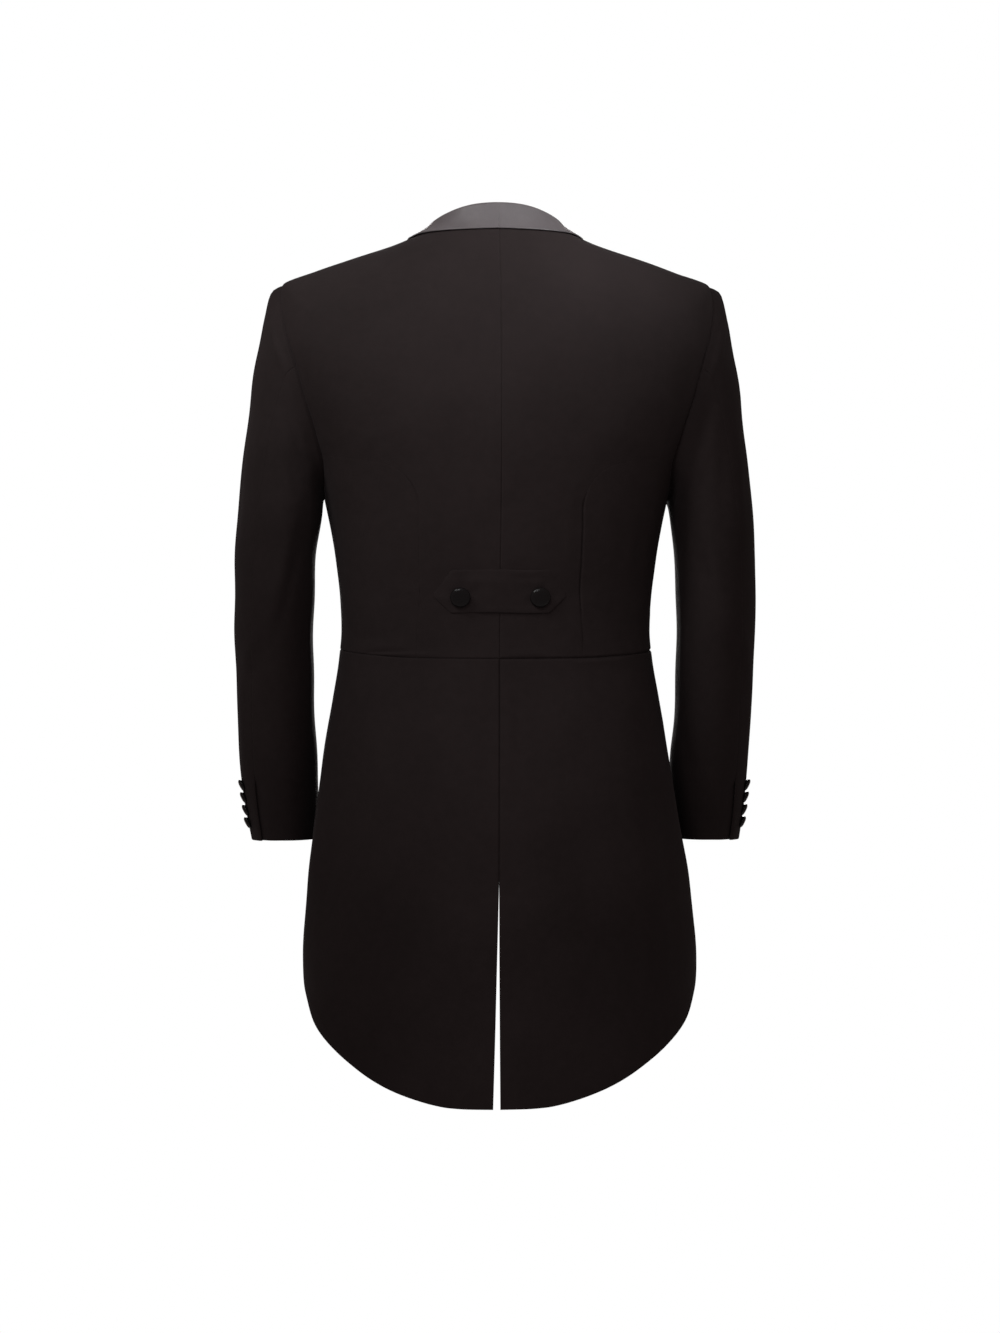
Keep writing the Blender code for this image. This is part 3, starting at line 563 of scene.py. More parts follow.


# ---------------------------------------------------------------- creases

# Soft ridges (height above 0) and troughs (below 0) of the body, each along a curve through three
# places. side says where: both, left or right.
BODY_FOLD_COLUMNS = ("side", "turn_1", "level_1", "turn_2", "level_2", "turn_3", "level_3",
                     "width", "height")
BODY_FOLDS = (
    # back: the blade's fullness running down to the arm, and drag under the arm
    ("both", 52, -0.1150, 44, -0.1900, 40, -0.2450, 0.0150, 0.0016),
    ("both", 38, -0.1500, 36, -0.2000, 37, -0.2450, 0.0080, -0.0009),
    ("left", 44, -0.2580, 56, -0.2350, 68, -0.2200, 0.0065, 0.0008),
    ("right", 42, -0.2540, 55, -0.2390, 66, -0.2300, 0.0055, 0.0007),
    ("left", 50, -0.3100, 47, -0.3450, 46, -0.3850, 0.0100, -0.0010),
    ("right", 49, -0.3000, 46, -0.3500, 44, -0.3900, 0.0090, -0.0011),
    ("left", 70, -0.2900, 71, -0.3400, 70, -0.3800, 0.0090, -0.0006),
    ("right", 66, -0.2700, 67, -0.3250, 66, -0.3700, 0.0060, 0.0006),
    # short ripples over the waist seam, unequal on the two sides
    ("left", 70.0, -0.4718, 55, -0.4722, 36, -0.4738, 0.0015, -0.0017),
    ("left", 68.0, -0.4752, 56, -0.4752, 42, -0.4752, 0.0018, 0.0010),
    ("right", 64.0, -0.4850, 54, -0.4836, 40, -0.4812, 0.0018, 0.0012),
    ("left", 56.0, -0.4695, 48, -0.4680, 38, -0.4690, 0.0024, 0.0009),
    ("left", 52.0, -0.4600, 42, -0.4560, 30, -0.4600, 0.0050, -0.0009),
    ("left", 72.0, -0.4560, 64, -0.4500, 55, -0.4520, 0.0060, 0.0006),
    ("right", 88.0, -0.4755, 80, -0.4748, 72, -0.4745, 0.0024, 0.0007),
    ("right", 66.0, -0.4700, 60, -0.4660, 52, -0.4650, 0.0032, 0.0008),
    ("right", 50.0, -0.4620, 42, -0.4600, 32, -0.4640, 0.0046, -0.0008),
    ("right", 78.0, -0.4560, 70, -0.4500, 62, -0.4520, 0.0050, 0.0006),
    # the belt draws the cloth in a little at its ends
    ("left", 62.0, -0.4080, 56, -0.4060, 48, -0.4000, 0.0050, 0.0008),
    ("right", 62.0, -0.4100, 55, -0.4160, 48, -0.4260, 0.0048, 0.0010),
    ("right", 64.0, -0.4180, 60, -0.4250, 57, -0.4330, 0.0030, 0.0010),
    ("left", 63.0, -0.4190, 58, -0.4240, 52, -0.4330, 0.0040, -0.0006),
    # side body: long soft troughs where the waist is shaped
    ("both", 34, -0.2900, 35, -0.3500, 33, -0.4100, 0.0130, -0.0013),
    ("both", 12, -0.3250, 13, -0.3700, 16, -0.4250, 0.0100, 0.0011),
    ("left", 2, -0.3450, 4, -0.3950, 6, -0.4450, 0.0080, -0.0009),
    ("right", -1, -0.3350, 2, -0.3900, 6, -0.4300, 0.0080, -0.0010),
    # skirt, back: a pressed ridge beside the centre seam and long flutes from the waist
    ("right", 87.2, -0.4980, 87.0, -0.5600, 87.2, -0.6350, 0.0036, 0.0010),
    ("right", 84.0, -0.5000, 83.6, -0.5600, 84.2, -0.6200, 0.0040, -0.0006),
    ("left", 86.0, -0.5000, 85.4, -0.5700, 85.8, -0.6500, 0.0060, -0.0005),
    ("left", 70, -0.5600, 69, -0.6900, 70, -0.8800, 0.0200, -0.0016),
    ("right", 66, -0.5700, 64, -0.7200, 62, -0.9000, 0.0220, -0.0020),
    ("left", 53, -0.5300, 52, -0.6800, 54, -0.8900, 0.0180, 0.0018),
    ("right", 50, -0.5400, 46, -0.6800, 44, -0.8800, 0.0170, 0.0018),
    ("left", 38, -0.5500, 34, -0.6900, 33, -0.8600, 0.0160, -0.0020),
    ("right", 35, -0.5200, 32, -0.6900, 31, -0.8600, 0.0150, -0.0024),
    ("left", 20, -0.5600, 17, -0.7000, 16, -0.8500, 0.0150, 0.0024),
    ("right", 18, -0.5800, 16, -0.7100, 15, -0.8500, 0.0150, 0.0030),
    ("both", 4, -0.5500, 1, -0.6700, -2, -0.7800, 0.0120, -0.0016),
    ("both", 47, -0.9150, 30, -0.8750, 12, -0.8350, 0.0060, 0.0006),
    # skirt, front: the cutaway's softer hanging folds
    ("left", -18, -0.4900, -17, -0.5800, -14, -0.7100, 0.0130, 0.0018),
    ("right", -20, -0.5000, -18, -0.5900, -16, -0.7000, 0.0130, 0.0017),
    ("both", -34, -0.4850, -32, -0.5600, -29, -0.6600, 0.0110, -0.0014),
    ("left", -50, -0.4800, -47, -0.5300, -43, -0.6200, 0.0100, 0.0013),
    ("right", -52, -0.4800, -49, -0.5300, -45, -0.6100, 0.0100, 0.0012),
    ("both", -66, -0.4780, -63, -0.5200, -60, -0.5700, 0.0080, -0.0008),
    # fronts: drag from the button to the side and from the chest to the arm
    ("left", -86, -0.4360, -66, -0.4300, -44, -0.4100, 0.0070, 0.0014),
    ("right", -84, -0.4380, -66, -0.4340, -46, -0.4200, 0.0070, 0.0012),
    ("left", -84, -0.4440, -64, -0.4470, -42, -0.4400, 0.0065, -0.0011),
    ("right", -82, -0.4460, -62, -0.4490, -44, -0.4450, 0.0060, -0.0010),
    ("left", -84, -0.4260, -68, -0.4080, -52, -0.3800, 0.0070, 0.0010),
    ("right", -82, -0.4280, -66, -0.4100, -52, -0.3860, 0.0060, 0.0009),
    ("both", -38, -0.2600, -46, -0.2300, -54, -0.1900, 0.0100, -0.0012),
    ("both", -36, -0.2850, -46, -0.2700, -58, -0.2500, 0.0080, 0.0010),
    ("both", -24, -0.3200, -26, -0.3700, -30, -0.4200, 0.0110, -0.0012),
    ("both", -40, -0.3300, -42, -0.3700, -44, -0.4100, 0.0120, 0.0010),
)

# The same on the sleeves, by armhole place and by distance down: 0 the armhole, 1 the arm under
# the cap, 2 the cuff
SLEEVE_FOLD_COLUMNS = ("side", "place_1", "down_1", "place_2", "down_2", "place_3", "down_3",
                       "width", "height")
SLEEVE_FOLDS = (
    # the roll of the sleeve head beside the seam
    ("both", 0.2, 0.060, 2.3, 0.058, 4.4, 0.050, 0.0042, 0.0027),
    ("both", -4.5, 0.06, -2.5, 0.065, -0.4, 0.06, 0.0045, 0.0015),
    # under the roll, where the sleeve turns in to the body
    ("both", 4.2, 0.16, 5.6, 0.22, 7.0, 0.36, 0.0085, -0.0024),
    ("both", 5.4, 0.44, 6.2, 0.60, 6.8, 0.86, 0.0075, -0.0016),
    # behind the arm: the cloth falls in from the seam
    ("left", 4.4, 0.30, 5.2, 0.75, 5.4, 1.15, 0.0090, -0.0018),
    ("right", 4.2, 0.34, 5.0, 0.80, 5.1, 1.10, 0.0085, -0.0016),
    ("left", 3.0, 0.35, 3.6, 0.80, 4.2, 1.25, 0.0100, 0.0015),
    ("right", 2.8, 0.40, 3.3, 0.85, 3.9, 1.22, 0.0095, 0.0014),
    ("left", 0.6, 0.45, 1.0, 0.80, 1.3, 1.20, 0.0110, -0.0013),
    ("right", 0.4, 0.50, 0.9, 0.85, 1.2, 1.15, 0.0100, -0.0013),
    ("both", -3.0, 0.40, -2.4, 0.80, -2.0, 1.20, 0.0100, 0.0013),
    ("both", -4.6, 0.45, -4.2, 0.80, -4.0, 1.15, 0.0080, -0.0013),
    # inner arm, where the sleeve meets the body
    ("left", 6.6, 1.02, 6.3, 1.16, 5.6, 1.34, 0.0070, 0.0017),
    ("left", 7.6, 1.08, 6.8, 1.24, 5.8, 1.42, 0.0060, -0.0014),
    ("right", 6.5, 1.00, 6.2, 1.15, 5.5, 1.30, 0.0070, 0.0016),
    ("right", 7.5, 1.06, 6.7, 1.21, 5.9, 1.36, 0.0060, -0.0013),
    # the elbow: crossing folds, deeper in front
    ("left", 4.9, 1.34, 3.8, 1.42, 2.7, 1.47, 0.0080, 0.0012),
    ("left", 5.2, 1.44, 4.0, 1.50, 3.0, 1.58, 0.0075, -0.0012),
    ("right", 5.0, 1.30, 3.9, 1.38, 2.8, 1.45, 0.0080, 0.0012),
    ("right", 5.2, 1.40, 4.1, 1.47, 3.2, 1.55, 0.0075, -0.0011),
    ("left", 14.4, 1.32, 16.0, 1.38, 17.6, 1.36, 0.0070, -0.0020),
    ("left", 14.2, 1.41, 15.6, 1.45, 17.0, 1.46, 0.0070, 0.0019),
    ("left", 14.6, 1.50, 16.0, 1.52, 17.4, 1.50, 0.0060, -0.0014),
    ("right", 14.4, 1.30, 16.0, 1.35, 17.6, 1.34, 0.0070, -0.0018),
    ("right", 14.2, 1.38, 15.6, 1.43, 17.0, 1.45, 0.0070, 0.0018),
    ("right", 14.6, 1.47, 16.0, 1.50, 17.4, 1.49, 0.0060, -0.0013),
    # forearm down to the cuff
    ("left", 2.2, 1.50, 2.5, 1.68, 2.4, 1.90, 0.0090, 0.0011),
    ("right", 2.0, 1.48, 2.3, 1.66, 2.2, 1.88, 0.0090, 0.0011),
    ("both", -1.0, 1.25, -0.6, 1.45, -0.8, 1.70, 0.0100, -0.0012),
    ("both", 9.5, 1.20, 9.0, 1.45, 9.2, 1.75, 0.0090, 0.0012),
    ("both", 12.4, 1.25, 12.0, 1.50, 12.2, 1.80, 0.0080, -0.0012),
)


def nearest(points, line):
    """Distance of each point to a line of points, and how far along it as a share."""
    flat = points.reshape(-1, 3).astype(np.float32)
    a, b = line[:-1].astype(np.float32), line[1:].astype(np.float32)
    step = b - a
    size = np.maximum((step * step).sum(-1), 1e-14)
    best, place = [], []
    for start in range(0, len(flat), 4000):
        p = flat[start:start + 4000, None, :] - a[None]
        t = np.clip((p * step[None]).sum(-1) / size, 0, 1)
        off = p - t[..., None] * step[None]
        d = (off * off).sum(-1)
        i = d.argmin(1)
        pick = np.arange(len(i))
        best.append(np.sqrt(d[pick, i]))
        place.append(i + t[pick, i])
    shape = points.shape[:-1]
    return (np.concatenate(best).astype(float).reshape(shape),
            (np.concatenate(place) / len(a)).astype(float).reshape(shape))


def bend(p1, p2, p3, count=14):
    """A parabola through three places, as rows."""
    t = np.linspace(0, 1, count)[:, None]
    p1, p2, p3 = (np.array(p, float) for p in (p1, p2, p3))
    return p1 * (1 - t) * (1 - 2 * t) + p2 * 4 * t * (1 - t) + p3 * t * (2 * t - 1)


def add_folds(points, rows, line_of, side):
    """How far the creases move each point out."""
    out = np.zeros(points.shape[:-1])
    for where, u1, v1, u2, v2, u3, v3, width, height in rows:
        if where not in ("both", side):
            continue
        d, share = nearest(points, line_of(bend((u1, v1), (u2, v2), (u3, v3))))
        ends = np.sin(np.pi * np.clip(share, 0, 1)) ** 0.8
        # The profile is a soft crest, a plain bell across the line, dying out towards its ends
        out += height * ends * np.exp(-(d / width) ** 2)
    return out


def drift(points, size, scale):
    """Slow unevenness, so that no panel is perfectly fair."""
    x, y, z = points[..., 0] / scale, points[..., 1] / scale, points[..., 2] / scale
    return size * (np.sin(1.7 * x + 2.3 * z + 0.6) * np.cos(1.1 * z - 0.9 * y + 1.3)
                   + 0.6 * np.sin(3.1 * z - 1.9 * x + 2.1) * np.cos(2.3 * y + 0.8)
                   + 0.4 * np.sin(4.7 * x + 1.3 * y + 0.4) * np.sin(3.9 * z + 1.7))


def body_relief(turns, levels, side):
    """How far the worn cloth stands off the plain form."""
    points = body(turns, levels)
    side_points = points * (SIGN[side], 1, 1)
    out = add_folds(points, BODY_FOLDS, lambda rows: body(rows[:, 0], rows[:, 1]), side)
    out = out + drift(side_points, 0.00045, 0.055)
    # Below the hips the cloth hangs free, so its unevenness grows towards the hem
    free = smoothstep(-0.52, -0.90, levels)
    out = out + free * drift(side_points + 0.31, 0.0007, 0.075)
    # The skirt stands out a little at the side on the wearer's right
    if side == "right":
        wide = np.exp(-((turns - 6) / 26.0) ** 2)
        out = out + 0.0030 * wide * smoothstep(-0.66, -0.80, levels)
        out = out + 0.0032 * smoothstep(74, 40, turns) * smoothstep(-10, 20, turns) * smoothstep(
            -0.84, -0.90, levels)
    # Calm where the collar lies on it, at the neck and along the lapel
    calm = smoothstep(-0.030, -0.012, levels)
    return out * (1 - calm)


# ---------------------------------------------------------------- shells

# How a panel ends: a seam curls down into a valley, a pressed edge is rounded from both faces
SEAM = {"depth": 0.00085, "width": 0.0021, "round": False}
WAIST_SEAM = {"depth": 0.00105, "width": 0.0024, "round": False}
CENTRE_SEAM = {"depth": 0.00075, "width": 0.0018, "round": False}
SLEEVE_SEAM = {"depth": 0.0013, "width": 0.0042, "round": False}
PRESSED = {"depth": 0.00075, "width": 0.0013, "round": True}
# The armhole's valley is shallow over the shoulder's tip and deepens down the back and the front
BACK_HOLE = dict(SLEEVE_SEAM, profile=((0.0, 0.22, 0.5, 1.0), (0.08, 0.35, 1.0, 1.0)))
FRONT_HOLE = dict(SLEEVE_SEAM, profile=((0.0, 0.15, 0.35, 1.0), (0.08, 0.4, 0.8, 0.8)))
# Pressed flat for most of their length, these seams show only here and there
SIDE_BODY_SEAM = {
    "left": dict(SEAM, depth=0.00090, heights=((-0.48, -0.40, -0.31, -0.302, -0.288, -0.278, -0.255),
                                                (0.08, 0.08, 0.12, 0.90, 0.90, 0.10, 0.05))),
    "right": dict(SEAM, depth=0.00190, width=0.0023,
                  heights=((-0.48, -0.44, -0.430, -0.40, -0.312, -0.300, -0.262),
                           (0.08, 0.12, 0.55, 1.00, 1.00, 0.05, 0.03))),
}
WAIST_LINE = {"left": dict(WAIST_SEAM, depth=0.00110, width=0.0020),
              "right": dict(WAIST_SEAM, depth=0.00210, width=0.0028)}
BACK_CENTRE = dict(CENTRE_SEAM, heights=((-0.48, -0.30, -0.12, 0.0), (1.1, 1.0, 0.7, 0.6)))
SKIRT_CENTRE = dict(CENTRE_SEAM, depth=0.00150, width=0.0024)
HINDARM_SEAM = dict(SEAM, profile=((0.0, 0.12, 0.7, 1.0), (0.5, 0.16, 0.22, 0.6)))


def near_edges(points, edges, thickness):
    """Offsets of the outer and the inner face near a panel's edges."""
    outer = np.zeros(points.shape[:-1])
    inner = np.zeros(points.shape[:-1])
    for line, kind in edges:
        d, share = nearest(points, line)
        depth = kind["depth"]
        if "profile" in kind:
            depth = depth * np.interp(share, *kind["profile"])
        if "heights" in kind:
            depth = depth * np.interp(points[..., 2], *kind["heights"])
        u = np.clip(1 - d / kind["width"], 0, 1)
        if kind["round"]:
            dip = np.minimum(depth, thickness * 0.46) * (1 - np.sqrt(np.clip(1 - u * u, 0, 1)))
            # The turned-in allowance makes the edge a little fuller just inside it
            full = 0.00022 * np.exp(-((d - 0.0045) / 0.0030) ** 2)
            outer = np.minimum(outer, 0) - dip + full
            inner = np.maximum(inner, dip)
        else:
            outer = np.minimum(outer, -depth * u * u)
            # Under a deep valley the inner face gives way too
            inner = np.minimum(inner, outer + 0.55 * thickness)
    return outer, inner


def metres_uv(points):
    """UVs in metres: along the rows from their middle, and down the columns."""
    across = np.linalg.norm(np.diff(points, axis=1), axis=-1)
    u = np.concatenate([np.zeros((len(points), 1)), np.cumsum(across, axis=1)], 1)
    down = np.linalg.norm(np.diff(points, axis=0), axis=-1).mean(axis=1)
    v = np.concatenate([[0], np.cumsum(down)])
    return np.stack([u, np.broadcast_to(-v[:, None], u.shape)], -1)


MADE = {}


def round_tip(points, side):
    """The shoulder's end settles a little, and the sleeve's head rounds the corner beside it."""
    tip = body(0.0, armhole("tip")[1])
    away = points - tip
    near = np.exp(-(away ** 2).sum(-1) / 0.026 ** 2)
    middle = np.exp(-((away - (0.0080, 0.0, -0.0085)) ** 2).sum(-1) / 0.0120 ** 2)
    points[:, 0] += (0.0014 if side == "left" else 0.0028) * middle
    points[:, 2] += 0.0034 * middle - 0.0040 * near
    return points


def shell(name, outer, inner, uv, material, side, closed=False):
    """A closed shell between two grids; the last column meets the first when closed is set."""
    n, m = outer.shape[:2]
    points = round_tip(np.concatenate([outer.reshape(-1, 3), inner.reshape(-1, 3)]), side)
    if side == "right":
        points[:, 0] *= -1
    points[:, 0] += hang("sway", points[:, 2]) + hang("twist", points[:, 2]) * points[:, 1]
    index = np.arange(n * m).reshape(n, m)
    a, b, c, d = index[:-1, :-1], index[:-1, 1:], index[1:, 1:], index[1:, :-1]
    out_faces = np.stack([a, b, c, d], -1).reshape(-1, 4)
    in_faces = out_faces[:, ::-1] + n * m
    loop = np.concatenate([index[0, :], index[1:, -1], index[-1, -2::-1], index[-2:0:-1, 0]])
    after = np.roll(loop, -1)
    rim = np.stack([after, loop, loop + n * m, after + n * m], -1)
    faces = np.concatenate([out_faces, in_faces, rim])
    v0, v1, v2, v3 = (points[faces[:, k]] for k in range(4))
    volume = (v0 * np.cross(v1, v2)).sum() + (v0 * np.cross(v2, v3)).sum()
    if volume < 0:
        faces = faces[:, ::-1]
    mesh = bpy.data.meshes.new(name)
    mesh.from_pydata(points.tolist(), [], faces.tolist())
    mesh.materials.append(material)
    layer = mesh.uv_layers.new(name="UVMap")
    flat_uv = np.concatenate([uv.reshape(-1, 2), uv.reshape(-1, 2)])
    corner = np.zeros(len(mesh.loops), dtype=np.int32)
    mesh.loops.foreach_get("vertex_index", corner)
    layer.data.foreach_set("uv", flat_uv[corner].astype(np.float32).ravel())
    mesh.polygons.foreach_set("use_smooth", [True] * len(mesh.polygons))
    mesh.update()
    made = bpy.data.objects.new(name, mesh)
    bpy.context.scene.collection.objects.link(made)
    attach(made, "root")
    MADE[name] = made
    return made


def one_face_area(points):
    a = np.cross(points[1:, :-1] - points[:-1, :-1], points[:-1, 1:] - points[:-1, :-1])
    b = np.cross(points[1:, :-1] - points[1:, 1:], points[:-1, 1:] - points[1:, 1:])
    return (np.linalg.norm(a, axis=-1).sum() + np.linalg.norm(b, axis=-1).sum()) / 2


def cloth_panel(node, side, grid, kinds, material, lift=None, shift=None):
    """A panel of wool on the worn form; kinds gives its edges as rows, columns and manners."""
    turns, levels, _ = grid
    base = body(turns, levels)
    normal = body_normal(turns, levels)
    relief = body_relief(turns, levels, side)
    if lift is not None:
        relief = relief + lift
    edges = [(base[where], kind) for where, kind in kinds]
    dip_out, dip_in = near_edges(base, edges, CLOTH)
    # Pressed seams meet without a gap
    if node in ("back", "side"):
        first = grid[2]["side_body"] if node == "back" else 0
        last, beside = (-1, -2) if node == "back" else (0, 1)
        onward = base[first:, last] - base[first:, beside]
        onward /= np.linalg.norm(onward, axis=-1, keepdims=True)
        base = base.copy()
        base[first:, last] += onward * SEAM_GAP * 0.55
    outer = base + normal * (relief + dip_out)[..., None]
    inner = base + normal * (relief - CLOTH + dip_in)[..., None]
    if shift is not None:
        outer[..., 0] += shift
        inner[..., 0] += shift
    name = f"{node}_{side}_cloth"
    made = shell(name, outer, inner, metres_uv(base), material, side)
    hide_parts(f"{node}_{side}")
    return made, one_face_area(outer)


# ---------------------------------------------------------------- sleeves

KNOTS_DOWN = list(CAP_STEPS) + [1 + (SLEEVE[0][0] - z) / (SLEEVE[0][0] - SLEEVE[-1][0])
                                for z in SLEEVE_STEPS]
ARM_KNOT = len(CAP_STEPS)
HINDARM = PLACES.index("hindarm")
FOREARM = PLACES.index("forearm")
CUFF_VENT_DOWN = 1.80


def sleeve_controls(s):
    """Points down the sleeve at armhole places s: the cap's steps, then the arm's rings."""
    turn, level, arm, cuff = np.moveaxis(hole(s), -1, 0)
    start = body(turn, level)
    top = sleeve_point(arm, SLEEVE[0][0])
    rows = []
    for step in CAP_STEPS:
        point = start + (top - start) * (step ** CAP_SWELL if step else 0.0)
        point[..., 2] = start[..., 2] + (top[..., 2] - start[..., 2]) * step
        rows.append(point)
    for z in SLEEVE_STEPS:
        share = (SLEEVE[0][0] - z) / (SLEEVE[0][0] - SLEEVE[-1][0])
        rows.append(sleeve_point(arm + (cuff - arm) * share, z))
    return np.stack(rows, axis=-2)


def sleeve_surface(s, rows_cap=44, rows_arm=96):
    """The sleeve's points down each line, close together at the armhole and at the cuff, with
    the distance down of each: 0 the armhole, 1 the arm, 2 the cuff."""
    points, downs = [], []
    for line in sleeve_controls(s):
        run = lengths(line)
        cap, arm = run[ARM_KNOT], run[-1] - run[ARM_KNOT]
        fine = FINE * min(1.0, cap / (3 * FINE[-1]))
        upper = np.concatenate([fine[:-1], np.linspace(fine[-1], cap, rows_cap + 1)])
        lower = np.concatenate([np.linspace(0, arm - FINE[-1], rows_arm + 1)[1:],
                                (arm - FINE[:-1])[::-1]])
        q = np.concatenate([upper, cap + lower])
        points.append(spline(run, line, q))
        downs.append(np.interp(q, run, KNOTS_DOWN))
    return np.stack(points, 1), np.stack(downs, 1)


def sleeve_fold_line(rows):
    """A crease's points, from armhole places and distances down."""
    points = []
    for place, down in rows:
        line = sleeve_controls(np.array([place]))[0]
        run = lengths(line)
        points.append(spline(run, line, np.interp([down], KNOTS_DOWN, run))[0])
    return np.array(points)


def sleeve_piece(node, side, first, last, middle, material):
    dense = np.linspace(first, last, 120)
    run = lengths(np.array([sleeve_point(a, -0.46) for a in hole(dense)[:, 2]]))
    s = np.interp(graded(run[-1], middle), run, dense)
    base, down = sleeve_surface(s)
    ahead, _ = sleeve_surface(s + 0.03)
    behind, _ = sleeve_surface(s - 0.03)
    normal = np.cross(ahead - behind, np.gradient(base, axis=0))
    normal /= np.maximum(np.linalg.norm(normal, axis=-1, keepdims=True), 1e-12)
    centre = sleeve_point(np.array([0.0, 90.0, 180.0, 270.0]), -0.46).mean(axis=0)
    row = base.shape[0] // 2
    if ((base[row] - centre) * normal[row]).sum() < 0:
        normal = -normal
    relief = add_folds(base, SLEEVE_FOLDS, sleeve_fold_line, side)
    relief = relief + drift(base * (SIGN[side], 1, 1) + 0.17, 0.0006, 0.050)
    relief = relief * smoothstep(0.0, 0.05, down)
    # The cuff stands a little full at its outer side, and its hem hangs lower there
    outside = np.clip((base[..., 0] - 0.2390) / 0.036, 0, 1) ** 1.5
    relief = relief + 0.0026 * outside * smoothstep(1.58, 1.82, down)
    base = base.copy()
    base[..., 2] -= (0.0014 + 0.0012 * outside) * smoothstep(1.70, 2.0, down)
    # The cuff's vent: the top piece laps over the under piece at the hindarm seam
    vent = smoothstep(CUFF_VENT_DOWN, CUFF_VENT_DOWN + 0.03, down)
    hind = base[:, 0] if abs(s[0] - HINDARM) < 0.01 else base[:, -1]
    off = np.linalg.norm(base - hind[:, None], axis=-1)
    near_vent = vent * np.exp(-(off / 0.010) ** 2)
    relief = relief + near_vent * (0.0007 if "top" in node else -0.0019)
    if "under" in node:
        beside = base[:, 1] if abs(s[0] - HINDARM) < 0.01 else base[:, -2]
        onward = hind - beside
        onward /= np.linalg.norm(onward, axis=-1, keepdims=True)
        base = base + onward[:, None] * (0.0042 * vent * np.exp(-(off / 0.0050) ** 2))[..., None]
        hind = base[:, 0] if abs(s[0] - HINDARM) < 0.01 else base[:, -1]
    seam = dict(SEAM, profile=((0.0, 1.0), (0.9, 1.0)))
    cut = PRESSED if "top" in node else SEAM
    is_vent = down.mean(axis=1) > CUFF_VENT_DOWN + 0.01
    fore = base[:, -1] if abs(s[0] - HINDARM) < 0.01 else base[:, 0]
    around = ((0.0, 1.0), (1.0, 1.0))
    if "top" in node:
        around = ((0.0, 0.30, 0.45, 0.60, 0.72, 1.0), (0.8, 0.6, 0.2, 0.3, 1.0, 1.2))
    edges = [(base[0], dict(SEAM, depth=0.0011, width=0.0030, profile=around)),
             (base[-1], PRESSED), (fore, seam),
             (hind[~is_vent], HINDARM_SEAM), (hind[is_vent], cut)]
    dip_out, dip_in = near_edges(base, edges, CLOTH)
    outer = base + normal * (relief + dip_out)[..., None]
    inner = base + normal * (relief - CLOTH + dip_in)[..., None]
    # The first ring is tucked into the armhole seam
    turn, level = hole(s)[:, 0], hole(s)[:, 1]
    facing = body_normal(turn, level)
    turn2, level2 = hole(s + 0.05)[:, 0], hole(s + 0.05)[:, 1]
    away = np.cross(body(turn2, level2) - body(turn, level), facing)
    away /= np.linalg.norm(away, axis=-1, keepdims=True)
    ring = hole(np.linspace(0, len(ARMHOLE) - 0.01, 60))
    middle_of_hole = body(ring[:, 0], ring[:, 1]).mean(axis=0)
    away *= np.sign(((middle_of_hole - base[0]) * away).sum(-1, keepdims=True))
    tucked = np.interp(np.linspace(0, 1, len(s)), *around)[:, None]
    # Near the armhole the sleeve goes in and out with the body
    follow = body_relief(turn, level, side)[:, None] * np.exp(-(down / 0.07) ** 2)[..., None]
    for grid in (outer, inner):
        grid += facing * follow
        grid[0] -= facing * 0.0012 * tucked + away * 0.0018
    name = f"{node}_{side}_cloth"
    made = shell(name, outer, inner, metres_uv(base), material, side)
    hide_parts(f"{node}_{side}")
    return made, one_face_area(outer)


# ---------------------------------------------------------------- shawl collar

COLLAR_BULGE = 0.0008  # how far the fall stands off between its edge and the roll
STAND_TURNS, STAND_DROP = (30.0, 52.0, 70.0), 0.0


